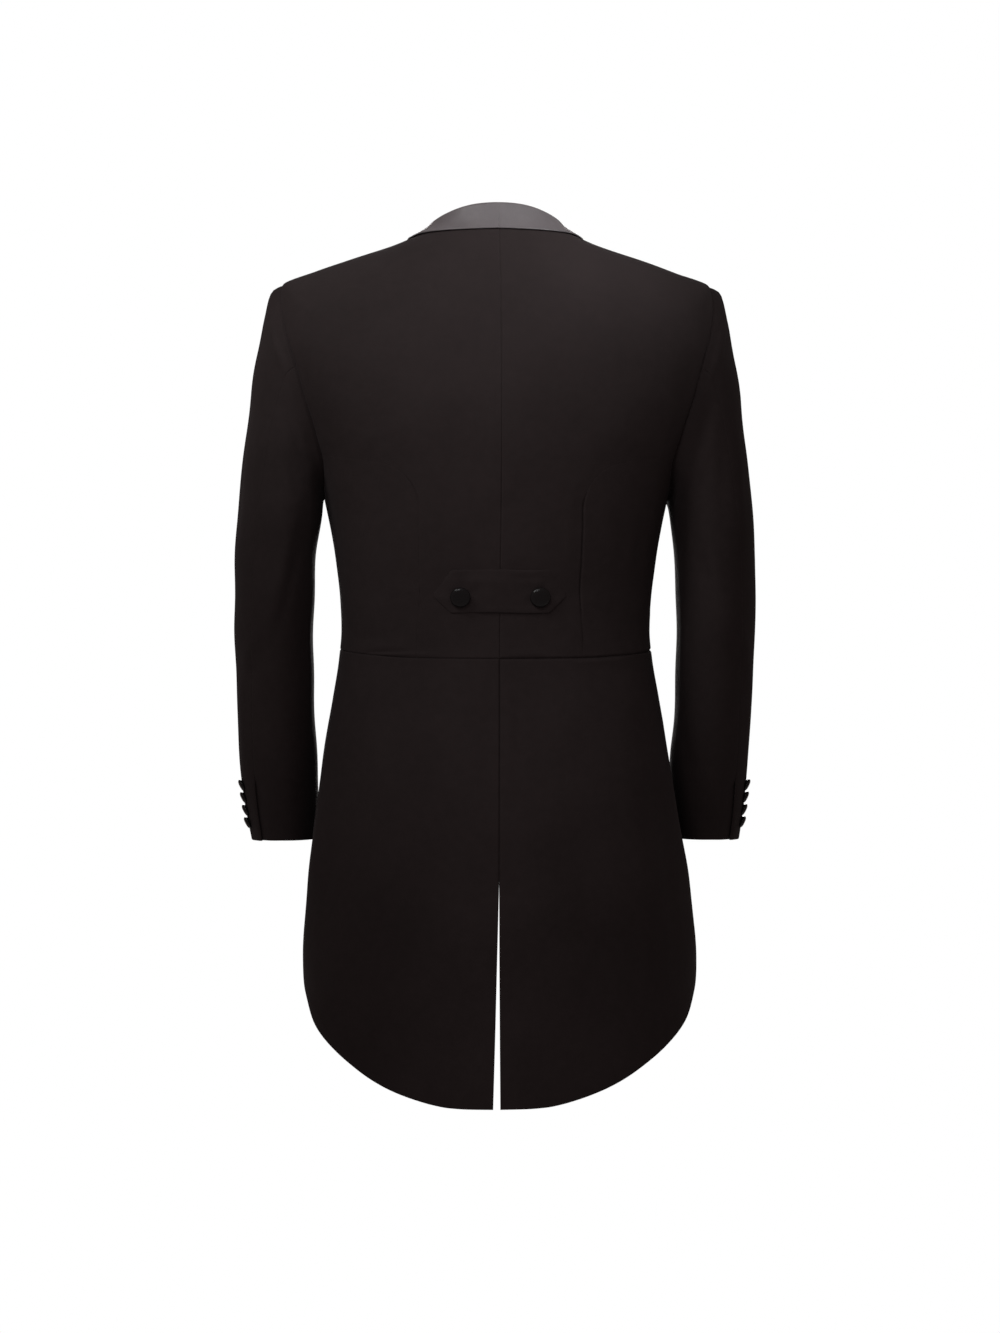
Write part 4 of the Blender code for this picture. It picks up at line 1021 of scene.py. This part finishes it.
def collar_piece(side, material):
    rows = np.array(COLLAR, float)
    path = (body(rows[:, 0], rows[:, 1]) + body(rows[:, 2], rows[:, 3])) / 2
    run = lengths(path)
    stations = spline(run, rows, graded(run[-1], 150))
    stations[:, 4] = np.interp(graded(run[-1], 150), run, rows[:, 4])
    # The roll line and the edge run fair between their ends
    for turn in range(70):
        fair = slice(0, 4) if turn < 24 else slice(2, 4)
        stations[1:-1, fair] = (stations[:-2, fair] + 2 * stations[1:-1, fair] + stations[2:, fair]) / 4
    roll_t, roll_l, edge_t, edge_l, inside = (stations[:, k][:, None] for k in range(5))
    high, low = FALL_GAP + SATIN_CLOTH, -WALL - FALL_GAP - SATIN_CLOTH
    middle, radius = (high + low) / 2, (high - low) / 2

    share = 1 - np.concatenate([FINE[:-1] / 0.030, np.linspace(FINE[-1] / 0.030, 1, 15)])[None]
    turns, levels = roll_t + share * (edge_t - roll_t), roll_l + share * (edge_l - roll_l)
    relief = body_relief(turns, levels, side) + lap(turns, levels, SIGN[side])
    bulge = COLLAR_BULGE * np.sin(np.pi * np.clip(share, 0, 1)) ** 1.2
    # The lapel's edge curls off the front very slightly
    curl = 0.0006 * smoothstep(0.75, 1.0, share) * smoothstep(-0.05, -0.12, levels)
    curl = curl * smoothstep(-0.39, -0.34, levels)
    fall_out = on_body(turns, levels, high + relief + bulge + curl)
    fall_in = on_body(turns, levels, FALL_GAP + relief + bulge * 0.8 + curl)

    roll = on_body(roll_t[:, 0], roll_l[:, 0], 0.0)
    normal = body_normal(roll_t[:, 0], roll_l[:, 0])
    next_t = roll_t[:, 0] + 0.1 * (edge_t - roll_t)[:, 0]
    next_l = roll_l[:, 0] + 0.1 * (edge_l - roll_l)[:, 0]
    towards = roll - on_body(next_t, next_l, 0.0)
    towards -= normal * (towards * normal).sum(-1, keepdims=True)
    towards /= np.linalg.norm(towards, axis=-1, keepdims=True)
    here = relief[:, -1][:, None]
    fold_out, fold_in = [], []
    for angle in np.radians(np.arange(12, 180, 12)):
        c, s = math.cos(angle), math.sin(angle)
        inner_radius = radius - SATIN_CLOTH
        fold_out.append(roll + normal * (middle + radius * c + here) + towards * radius * s)
        fold_in.append(roll + normal * (middle + inner_radius * c + here)
                       + towards * inner_radius * s)
    fold_out, fold_in = np.stack(fold_out, 1), np.stack(fold_in, 1)

    share = np.linspace(0, 1, 16)[None] * inside
    turns, levels = roll_t + share * (edge_t - roll_t), roll_l + share * (edge_l - roll_l)
    relief = body_relief(turns, levels, side) + lap(turns, levels, SIGN[side])
    stand_out = on_body(turns, levels, low + relief)
    stand_in = on_body(turns, levels, -WALL - FALL_GAP + relief)

    outer = np.concatenate([fall_out, fold_out, stand_out], 1)
    inner = np.concatenate([fall_in, fold_in, stand_in], 1)
    facing = outer - inner
    facing /= np.linalg.norm(facing, axis=-1, keepdims=True)
    edges = [(outer[:, 0], dict(PRESSED, width=0.0011)), (outer[-1], dict(PRESSED, width=0.0011)),
             (outer[0], {"depth": 0.00025, "width": 0.0012, "round": False})]
    dip_out, dip_in = near_edges(outer, edges, SATIN_CLOTH)
    outer = outer + facing * dip_out[..., None]
    inner = inner + facing * dip_in[..., None]
    name = f"collar_{side}_cloth"
    made = shell(name, outer, inner, metres_uv(outer), material, side)
    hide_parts(f"collar_{side}")
    return made, one_face_area(outer)


# ---------------------------------------------------------------- half belt and buttons

def turn_at(x, level):
    """The turn on the back where the worn form is this far from the centre."""
    low, high = np.full(np.shape(x), 20.0), np.full(np.shape(x), 160.0)
    for _ in range(40):
        half = (low + high) / 2
        more = body(half, level)[..., 0] > x
        low, high = np.where(more, half, low), np.where(more, high, half)
    return (low + high) / 2


def back_relief(turns, levels):
    """The cloth's relief on either side of the centre back."""
    left = body_relief(np.minimum(turns, 90.0), levels, "left")
    right = body_relief(np.minimum(180.0 - turns, 90.0), levels, "right")
    return np.where(turns <= 90.0, left, right)


BELT_LIFT, BELT_CLOTH = 0.0004, 0.0019


def belt_piece(material):
    xs = graded(2 * BELT_TIP, 56) - BELT_TIP
    past = np.clip((np.abs(xs) - BELT_CORNER) / (BELT_TIP - BELT_CORNER), 0, 1)
    # The corners of the point are turned a little round
    past = past * smoothstep(-0.06, 0.10, past)
    top = BELT_TOP + (BELT_POINT + 0.0012 - BELT_TOP) * past
    low = BELT_BOTTOM + (BELT_POINT - 0.0012 - BELT_BOTTOM) * past
    shares = graded(0.047, 18) / 0.047
    levels = top[:, None] + shares[None] * (low - top)[:, None]
    levels = levels + 0.0004 * np.sin(xs * 71 + 0.7)[:, None]
    x = np.broadcast_to(xs[:, None], levels.shape)
    turns = turn_at(x, levels)
    relief = back_relief(turns, levels)
    base = body(turns, levels)
    # Drawn down round the buttons, slack between them, with small pulls beside each
    pull = np.zeros(levels.shape)
    for sign in (1, -1):
        d = np.hypot(x - sign * BELT_BUTTON_X, levels - BELT_BUTTON_Z)
        pull -= 0.0009 * np.exp(-(d / 0.009) ** 2)
        a = np.arctan2(levels - BELT_BUTTON_Z, x - sign * BELT_BUTTON_X)
        ring = np.exp(-((d - 0.0145) / 0.0060) ** 2)
        pull += 0.00040 * ring * np.cos(5 * a + 0.9 * sign + 0.4)
    pull += 0.0009 * np.exp(-(x / 0.022) ** 2) * np.exp(-((levels + 0.4060) / 0.014) ** 2)
    pull += 0.0005 * np.exp(-((levels + 0.3960 - 0.05 * x) / 0.0035) ** 2) * np.exp(
        -((x - 0.030) / 0.022) ** 2)
    pull -= 0.0004 * np.exp(-((levels + 0.3925 + 0.04 * x) / 0.0030) ** 2) * np.exp(
        -((x + 0.028) / 0.020) ** 2)
    top_line, low_line = nearest(base, base[:, 0])[0], nearest(base, base[:, -1])[0]
    shown = 0.80 * np.exp(-((x - 0.0475) / 0.011) ** 4) + 0.70 * np.exp(-((x + 0.028) / 0.021) ** 4)
    sunk = 0.00185 * (1 - shown) * np.exp(-(top_line / 0.0085) ** 2)
    faint = 0.75 * smoothstep(0.018, 0.030, x) + 0.35 * smoothstep(-0.056, -0.064, x)
    sunk = np.maximum(sunk, 0.00140 * faint * np.exp(-(low_line / 0.0070) ** 2))
    lift = BELT_LIFT + relief - sunk
    outer = on_body(turns, levels, lift + BELT_CLOTH + pull)
    inner = on_body(turns, levels, lift)
    facing = body_normal(turns, levels)
    soft = {"depth": 0.0012, "width": 0.0042, "round": True}
    crisp = {"depth": 0.0009, "width": 0.0013, "round": True}
    edges = [(base[0], soft), (base[-1], soft), (base[:, 0], soft), (base[:, -1], crisp)]
    dip_out, dip_in = near_edges(base, edges, BELT_CLOTH)
    # A fine pressed groove where the turned-in allowance ends
    d = np.minimum.reduce([nearest(base, line)[0] for line, _ in edges])
    groove = -0.00007 * np.exp(-((d - 0.0074) / 0.0016) ** 2)
    outer = outer + facing * (dip_out + groove)[..., None]
    inner = inner + facing * (dip_in * 0.6)[..., None]
    made = shell("back_belt_cloth", outer, inner, metres_uv(base)[..., ::-1], material, "left")
    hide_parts("back_belt")
    return made, one_face_area(outer)


# Profile of a covered button, from the shank over the gathered back and the rim to the dome
BUTTON_COLUMNS = ("radius", "rise")
BUTTON = (
    (0.00, -0.20), (0.26, -0.20), (0.30, -0.05), (0.42, 0.00), (0.70, 0.00), (0.88, 0.03),
    (0.965, 0.10), (1.00, 0.22), (1.00, 0.36), (0.965, 0.54), (0.89, 0.70), (0.76, 0.845),
    (0.58, 0.935), (0.34, 0.985), (0.00, 1.00),
)


# A small one is set close, its gathered back resting on the cuff
SMALL = (
    (0.00, -0.72), (0.50, -0.72), (0.62, -0.66), (0.72, -0.42), (0.82, -0.14), (0.91, 0.02),
    (0.97, 0.12), (1.00, 0.24), (1.00, 0.36), (0.965, 0.54), (0.89, 0.70), (0.76, 0.845),
    (0.58, 0.935), (0.34, 0.985), (0.00, 1.00),
)


def covered_button(node, place, facing, size, side, material, pleats=20, sides=72, turned=0.0,
                   outline=BUTTON):
    """A shell of satin over a dome, gathered into small pleats behind the rim, on a thread shank."""
    radius, height = size
    facing = np.array(facing, float) / np.linalg.norm(facing)
    across = np.cross((0.0, 0.0, 1.0), facing)
    across /= np.linalg.norm(across)
    up = np.cross(facing, across)
    rows = np.array(outline, float)
    run = np.concatenate([[0], np.cumsum(np.hypot(*np.diff(rows, axis=0).T))])
    profile = spline(run, rows, np.linspace(0, run[-1], 46))
    profile[:, 0] = np.maximum(profile[:, 0], 0)
    a = 2 * np.pi * np.arange(sides) / sides
    ring, rise = profile[1:-1, 0][:, None], profile[1:-1, 1][:, None]
    # Pleats run from the shank up to the rim and die out on the dome
    gather = smoothstep(0.45, 0.02, rise) * smoothstep(0.32, 0.60, ring)
    ring = ring * (1 + 0.016 * gather * np.cos(pleats * a + turned))
    drawn = 0.012 * smoothstep(0.4, 0.9, ring) * np.cos(3 * a + 1.1 + turned)
    x = ring * np.cos(a) * radius
    y = ring * np.sin(a) * radius
    z = (rise + 0.05 * gather * np.cos(pleats * a + turned + 0.6) + drawn * rise) * height
    points = (place + x[..., None] * across + y[..., None] * up + z[..., None] * facing)
    ends = [place + facing * profile[0, 1] * height, place + facing * profile[-1, 1] * height]
    n = len(points)
    flat = np.concatenate([points.reshape(-1, 3), ends])
    uv = np.concatenate([np.stack([x, y], -1).reshape(-1, 2), [[0, 0], [0, 0]]])
    if side == "right":
        flat[:, 0] *= -1
    flat[:, 0] += hang("sway", flat[:, 2]) + hang("twist", flat[:, 2]) * flat[:, 1]
    index = np.arange(n * sides).reshape(n, sides)
    after = np.roll(index, -1, 1)
    faces = np.stack([index[:-1], after[:-1], after[1:], index[1:]], -1).reshape(-1, 4).tolist()
    faces += [(n * sides, after[0, k], index[0, k]) for k in range(sides)]
    faces += [(n * sides + 1, index[-1, k], after[-1, k]) for k in range(sides)]
    if side == "right":
        faces = [tuple(f)[::-1] for f in faces]
    mesh = bpy.data.meshes.new(node + "_covered")
    mesh.from_pydata(flat.tolist(), [], [tuple(int(i) for i in f) for f in faces])
    mesh.materials.append(material)
    layer = mesh.uv_layers.new(name="UVMap")
    corner = np.zeros(len(mesh.loops), dtype=np.int32)
    mesh.loops.foreach_get("vertex_index", corner)
    layer.data.foreach_set("uv", uv[corner].astype(np.float32).ravel())
    mesh.polygons.foreach_set("use_smooth", [True] * len(mesh.polygons))
    mesh.update()
    made = bpy.data.objects.new(node + "_covered", mesh)
    bpy.context.scene.collection.objects.link(made)
    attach(made, "root")
    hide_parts(node)
    return made


def cuff_button_set(side, material):
    for number, z in enumerate(CUFF_BUTTON_RINGS, 1):
        a = CUFF_BUTTON_ANGLE + CUFF_BUTTON_IN
        point = sleeve_point(a, z)
        along = sleeve_point(a + 2, z) - sleeve_point(a - 2, z)
        down = sleeve_point(a, z - 0.004) - sleeve_point(a, z + 0.004)
        n = np.cross(along, down)
        n /= np.linalg.norm(n)
        n *= np.sign(n[0])
        down /= np.linalg.norm(down)
        facing = n + down * CUFF_BUTTON_TILT
        facing /= np.linalg.norm(facing)
        lift = 0.0006 + SMALL_BUTTON[0] * 0.95 * CUFF_BUTTON_TILT / math.hypot(1, CUFF_BUTTON_TILT)
        covered_button(f"cuff_button_{side}_{number}", point + n * (lift + CUFF_BUTTON_PROUD),
                       facing, CUFF_BUTTON_SIZE, side, material, pleats=14, sides=48,
                       turned=number * 1.3, outline=SMALL)


CUFF_BUTTON_PROUD = 0.0014
CUFF_BUTTON_SIZE = (0.0070, 0.0036)


# ---------------------------------------------------------------- materials

def wire(tree, kind, inputs=(), **settings):
    """A node with its settings; each input is a value or another node's output."""
    node = tree.nodes.new(kind)
    for name, value in settings.items():
        setattr(node, name, value)
    for key, value in dict(inputs).items():
        socket = node.inputs[key]
        if isinstance(value, bpy.types.NodeSocket):
            tree.links.new(value, socket)
        else:
            socket.default_value = value
    return node


def calc(tree, operation, a, b=0.0, c=0.0):
    return wire(tree, "ShaderNodeMath", {0: a, 1: b, 2: c}, operation=operation).outputs[0]


def noise(tree, vector, scale, detail=2.0, rough=0.5):
    made = wire(tree, "ShaderNodeTexNoise",
                {"Vector": vector, "Scale": scale, "Detail": detail, "Roughness": rough})
    return made.outputs["Fac"]


def wool_material():
    """Fine black twill: a weave at its real pitch, a short nap, and soft unevenness of tone."""
    made = bpy.data.materials.new("black_twill")
    made.use_nodes = True
    tree = made.node_tree
    shader = tree.nodes["Principled BSDF"]
    where = wire(tree, "ShaderNodeTexCoord")
    uv = wire(tree, "ShaderNodeSeparateXYZ", {0: where.outputs["UV"]})
    u, v = uv.outputs["X"], uv.outputs["Y"]
    place = where.outputs["Object"]
    pitch = 2 * math.pi / WOOL_PITCH
    slope = calc(tree, "ADD", calc(tree, "MULTIPLY", u, 0.62), calc(tree, "MULTIPLY", v, 0.785))
    wales = calc(tree, "SINE", calc(tree, "MULTIPLY", slope, pitch))
    threads = calc(tree, "SINE", calc(tree, "MULTIPLY", v, pitch * 1.9))
    weave = calc(tree, "ADD", calc(tree, "MULTIPLY", wales, 0.5),
                 calc(tree, "MULTIPLY", calc(tree, "MULTIPLY", wales, threads), 0.22))
    nap = noise(tree, place, 2300.0, 3.0, 0.6)
    mottle = noise(tree, place, 95.0, 4.0, 0.6)
    broad = noise(tree, place, 7.0, 2.0, 0.5)
    height = calc(tree, "ADD", calc(tree, "MULTIPLY", weave, 0.5), calc(tree, "MULTIPLY", nap, 1.1))
    bump = wire(tree, "ShaderNodeBump", {"Strength": 0.55, "Distance": 0.00012, "Height": height})
    soft = wire(tree, "ShaderNodeBump", {"Strength": 0.25, "Distance": 0.0012, "Height": mottle,
                                         "Normal": bump.outputs[0]})
    tone = calc(tree, "ADD", calc(tree, "MULTIPLY", calc(tree, "SUBTRACT", broad, 0.5), 1.1), 0.5)
    tone = calc(tree, "ADD", tone, calc(tree, "MULTIPLY", calc(tree, "SUBTRACT", mottle, 0.5), 0.7))
    tone = calc(tree, "ADD", tone, calc(tree, "MULTIPLY", weave, 0.16))
    tone = calc(tree, "ADD", tone, calc(tree, "MULTIPLY", calc(tree, "SUBTRACT", nap, 0.5), 0.5))
    clamp = wire(tree, "ShaderNodeClamp", {0: tone}).outputs[0]
    mix = wire(tree, "ShaderNodeMix", data_type="RGBA")
    tree.links.new(clamp, mix.inputs["Factor"])
    mix.inputs["A"].default_value = (*WOOL_DARK, 1)
    mix.inputs["B"].default_value = (*WOOL_LIGHT, 1)
    rgba = [s for s in mix.inputs if s.type == "RGBA"]
    rgba[0].default_value, rgba[1].default_value = (*WOOL_DARK, 1), (*WOOL_LIGHT, 1)
    colour = [s for s in mix.outputs if s.type == "RGBA"][0]
    tree.links.new(colour, shader.inputs["Base Color"])
    rough = calc(tree, "ADD", calc(tree, "MULTIPLY", mottle, 0.16), 0.76)
    tree.links.new(rough, shader.inputs["Roughness"])
    tree.links.new(soft.outputs[0], shader.inputs["Normal"])
    shader.inputs["Specular IOR Level"].default_value = 0.14
    shader.inputs["Sheen Weight"].default_value = WOOL_SHEEN
    shader.inputs["Sheen Roughness"].default_value = 0.45
    shader.inputs["Sheen Tint"].default_value = (0.95, 0.88, 0.92, 1)
    return made


def satin_material(name, rib, dark, light, gloss, sheen, specular):
    """Satin: a very fine rib, slubs along the weft and a soft directional gloss."""
    made = bpy.data.materials.new(name)
    made.use_nodes = True
    tree = made.node_tree
    shader = tree.nodes["Principled BSDF"]
    where = wire(tree, "ShaderNodeTexCoord")
    uv = wire(tree, "ShaderNodeSeparateXYZ", {0: where.outputs["UV"]})
    u, v = uv.outputs["X"], uv.outputs["Y"]
    place = where.outputs["Object"]
    ribs = calc(tree, "SINE", calc(tree, "MULTIPLY", v, 2 * math.pi / rib))
    across = calc(tree, "SINE", calc(tree, "MULTIPLY", u, 2 * math.pi / (rib * 1.7)))
    floats = calc(tree, "MULTIPLY", ribs, calc(tree, "ADD", calc(tree, "MULTIPLY", across, 0.3), 0.7))
    stretched = wire(tree, "ShaderNodeMapping", {"Vector": where.outputs["UV"], "Scale": (90, 1500, 1)})
    slub = noise(tree, stretched.outputs[0], 1.0, 3.0, 0.55)
    soft = noise(tree, place, 60.0, 3.0, 0.55)
    height = calc(tree, "ADD", calc(tree, "MULTIPLY", floats, 0.35), calc(tree, "MULTIPLY", slub, 0.9))
    bump = wire(tree, "ShaderNodeBump", {"Strength": 0.35, "Distance": 0.00008, "Height": height})
    drape = wire(tree, "ShaderNodeBump", {"Strength": 0.35, "Distance": 0.0016, "Height": soft,
                                          "Normal": bump.outputs[0]})
    tone = calc(tree, "ADD", calc(tree, "MULTIPLY", calc(tree, "SUBTRACT", soft, 0.5), 0.9), 0.5)
    tone = calc(tree, "ADD", tone, calc(tree, "MULTIPLY", calc(tree, "SUBTRACT", slub, 0.5), 0.6))
    clamp = wire(tree, "ShaderNodeClamp", {0: tone}).outputs[0]
    mix = wire(tree, "ShaderNodeMix", data_type="RGBA")
    tree.links.new(clamp, mix.inputs["Factor"])
    rgba = [s for s in mix.inputs if s.type == "RGBA"]
    rgba[0].default_value, rgba[1].default_value = (*dark, 1), (*light, 1)
    colour = [s for s in mix.outputs if s.type == "RGBA"][0]
    tree.links.new(colour, shader.inputs["Base Color"])
    rough = calc(tree, "ADD", calc(tree, "MULTIPLY", slub, 0.14), gloss)
    tree.links.new(rough, shader.inputs["Roughness"])
    tree.links.new(drape.outputs[0], shader.inputs["Normal"])
    shader.inputs["Specular IOR Level"].default_value = specular
    shader.inputs["Anisotropic"].default_value = 0.35
    shader.inputs["Sheen Weight"].default_value = sheen
    shader.inputs["Sheen Roughness"].default_value = 0.35
    shader.inputs["Sheen Tint"].default_value = (0.92, 0.86, 0.90, 1)
    return made


WOOL_PITCH = 0.00072
WOOL_DARK = (0.0130, 0.0090, 0.0090)
WOOL_LIGHT = (0.0250, 0.0182, 0.0184)
WOOL_SHEEN = 0.02
# The collar satin's colours are painted sheen: far paler than the buttons' black satin, they put the
# satin's gloss under light from above into its colour
SHEEN_PAINTED_SATIN_DARK = (0.086, 0.076, 0.079)
SHEEN_PAINTED_SATIN_LIGHT = (0.118, 0.104, 0.109)
BUTTON_DARK = (0.0050, 0.0043, 0.0045)
BUTTON_LIGHT = (0.0100, 0.0085, 0.0090)


# ---------------------------------------------------------------- the coat


def build():
    wool = wool_material()
    # The collar's satin, its pale colours painted sheen
    satin = satin_material("collar_satin_painted_sheen", 0.00042, SHEEN_PAINTED_SATIN_DARK, SHEEN_PAINTED_SATIN_LIGHT, 0.34, 0.10, 0.45)
    covered = satin_material("black_button_satin", 0.00036, BUTTON_DARK, BUTTON_LIGHT, 0.12, 0.0, 0.24)
    col, row = (lambda a, b: (slice(a, b), 0)), (lambda a, b: (slice(a, b), -1))
    for side in ("left", "right"):
        grid = back_panel_grid()
        tip, start = grid[2]["tip"], grid[2]["side_body"]
        made, area = cloth_panel("back", side, grid, [
            ((slice(None), 0), BACK_CENTRE), ((slice(0, tip + 1), -1), SEAM),
            ((slice(tip, start + 1), -1), BACK_HOLE),
            ((slice(start, None), -1), SIDE_BODY_SEAM[side]),
            ((-1, slice(None)), WAIST_LINE[side]), ((0, slice(None)), SEAM)], wool)
        grid = side_panel_grid()
        made, area = cloth_panel("side", side, grid, [
            ((slice(None), 0), SIDE_BODY_SEAM[side]), ((slice(None), -1), SEAM),
            ((0, slice(None)), SLEEVE_SEAM), ((-1, slice(None)), WAIST_LINE[side])], wool)
        grid = front_panel_grid()
        tip, start = grid[2]["tip"], grid[2]["side_seam"]
        made, area = cloth_panel("front", side, grid, [
            ((slice(0, tip + 1), 0), SEAM), ((slice(tip, start + 1), 0), FRONT_HOLE),
            ((slice(start, None), 0), SEAM), ((-1, slice(None)), WAIST_LINE[side]),
            ((slice(None), -1), PRESSED), ((0, slice(None)), SEAM)], wool,
            lift=lap(grid[0], grid[1], SIGN[side]))
        grid = skirt_panel_grid()
        turns, levels, _ = grid
        vent = levels[:, 0] < VENT_HEAD
        shift = vent_shift(side, levels[:, :1]) * smoothstep(82, 90, turns)
        above = np.flatnonzero(~vent)[-1] + 1
        made, area = cloth_panel("skirt", side, grid, [
            ((slice(0, above), 0), SKIRT_CENTRE), ((slice(above, None), 0), PRESSED),
            ((0, slice(None)), WAIST_LINE[side]), ((-1, slice(None)), PRESSED),
            ((slice(None), -1), PRESSED)], wool, shift=shift)
        made, area = sleeve_piece("sleeve_top", side, FOREARM - len(ARMHOLE), HINDARM, 58, wool)
        made, area = sleeve_piece("sleeve_under", side, HINDARM, FOREARM, 40, wool)
        made, area = collar_piece(side, satin)
        cuff_button_set(side, covered)
        turn = float(turn_at(np.array(BELT_BUTTON_X), BELT_BUTTON_Z))
        relief = float(body_relief(np.array([turn]), np.array([BELT_BUTTON_Z]), side)[0])
        place = on_body(turn, BELT_BUTTON_Z, BELT_LIFT + BELT_CLOTH + 0.0016 + relief)
        facing = body_normal(turn, BELT_BUTTON_Z) + (0.0, 0.0, -0.16)
        covered_button("belt_button_" + side, place, facing / np.linalg.norm(facing),
                       LARGE_BUTTON, side, covered, turned=0.0 if side == "left" else 0.9)
    made, area = belt_piece(wool)
    place = on_body(-90.0, FRONT_BUTTON_LEVEL, FRONT_LAP + 0.0008)
    covered_button("front_button", place, body_normal(-90.0, FRONT_BUTTON_LEVEL), LARGE_BUTTON,
                   "left", covered, turned=0.5)


VENT_HEAD = -0.7350


# ---------------------------------------------------------------- studio

def area_light(name, place, aim, size, power, colour=(1, 1, 1), spread=180.0):
    data = bpy.data.lights.new(name, "AREA")
    data.shape = "RECTANGLE"
    data.size, data.size_y = size
    data.energy = power
    data.spread = math.radians(spread)
    data.color = colour
    made = bpy.data.objects.new(name, data)
    bpy.context.scene.collection.objects.link(made)
    point_at(made, place, aim)
    return made


def point_at(thing, place, aim):
    from mathutils import Vector
    thing.location = place
    thing.rotation_euler = (Vector(aim) - Vector(place)).to_track_quat("-Z", "Y").to_euler()


def studio():
    scene = bpy.context.scene
    scene.view_settings.view_transform = "Standard"
    scene.view_settings.look = "None"
    world = bpy.data.worlds.new("studio")
    scene.world = world
    world.use_nodes = True
    tree = world.node_tree
    tree.nodes.clear()
    seen = wire(tree, "ShaderNodeBackground", {"Color": (1, 1, 1, 1), "Strength": 1.0})
    lit = wire(tree, "ShaderNodeBackground", {"Color": (1.0, 0.84, 0.80, 1), "Strength": AMBIENT})
    path = wire(tree, "ShaderNodeLightPath")
    mix = wire(tree, "ShaderNodeMixShader", {0: path.outputs["Is Camera Ray"],
                                             1: lit.outputs[0], 2: seen.outputs[0]})
    out = wire(tree, "ShaderNodeOutputWorld")
    tree.links.new(mix.outputs[0], out.inputs[0])
    for row in LIGHTS:
        name, place, aim, size, spread, power, colour = row
        made = area_light(name, place, aim, size, power, colour, spread)
        # The two lights on the back's middle are for its tone, not for glints
        made.visible_glossy = name not in ("centre", "strip")

    floor_mesh = bpy.data.meshes.new("floor")
    ring = [(1.3 * math.cos(a), 1.3 * math.sin(a), FLOOR) for a in
            np.linspace(0, 2 * math.pi, 96, endpoint=False)]
    floor_mesh.from_pydata(ring, [], [tuple(range(96))])
    floor = bpy.data.objects.new("floor", floor_mesh)
    scene.collection.objects.link(floor)
    pale = bpy.data.materials.new("pale_floor")
    pale.use_nodes = True
    pale.node_tree.nodes["Principled BSDF"].inputs["Base Color"].default_value = (0.8, 0.8, 0.8, 1)
    pale.node_tree.nodes["Principled BSDF"].inputs["Roughness"].default_value = 0.9
    floor_mesh.materials.append(pale)

    data = bpy.data.cameras.new("camera")
    data.sensor_width = 36
    data.lens = 36 / (CAMERA_SPAN / CAMERA_DISTANCE)
    camera = bpy.data.objects.new("camera", data)
    scene.collection.objects.link(camera)
    a = math.radians(CAMERA_AZIMUTH)
    place = (CAMERA_TARGET[0] + math.sin(a) * CAMERA_DISTANCE,
             CAMERA_TARGET[1] + math.cos(a) * CAMERA_DISTANCE, CAMERA_TARGET[2])
    point_at(camera, place, CAMERA_TARGET)
    scene.camera = camera


AMBIENT = 0.175
FLOOR = -1.5
CAMERA_AZIMUTH = 3.0
CAMERA_DISTANCE = 5.0
CAMERA_SPAN = 1.493
CAMERA_TARGET = (-0.004, 0.0, -0.489)
LIGHTS = (
    # name, place, aim, size, spread in degrees, power, colour
    ("top_near", (0.0, 0.55, 0.75), (0.0, 0.08, -0.10), (1.0, 0.5), 180, 0.27, (1.0, 0.97, 0.96)),
    ("key", (0.6, 1.9, 0.9), (0.06, 0.10, -0.12), (0.6, 0.6), 50, 0.85, (0.97, 0.98, 1.0)),
    ("high_left", (1.0, 0.8, 0.75), (0.10, 0.05, -0.06), (0.5, 0.4), 45, 0.75, (0.98, 1.0, 0.99)),
    ("centre", (0.1, 2.0, 0.35), (0.02, 0.10, -0.45), (0.3, 0.3), 36, 0.10, (0.98, 1.0, 1.0)),
    ("strip", (0.0, 1.30, -0.62), (0.0, 0.10, -0.62), (0.06, 0.9), 20, 0.09, (0.95, 0.98, 1.0)),
    ("neck_right", (-0.9, 0.9, 0.45), (-0.05, 0.05, 0.0), (0.25, 0.25), 18, 0.27,
     (0.95, 0.99, 1.0)),
    ("front", (-0.1, -2.5, 0.0), (0.0, -0.1, -0.40), (1.2, 1.2), 180, 44.0, (1.0, 0.98, 0.97)),
)


build()
studio()
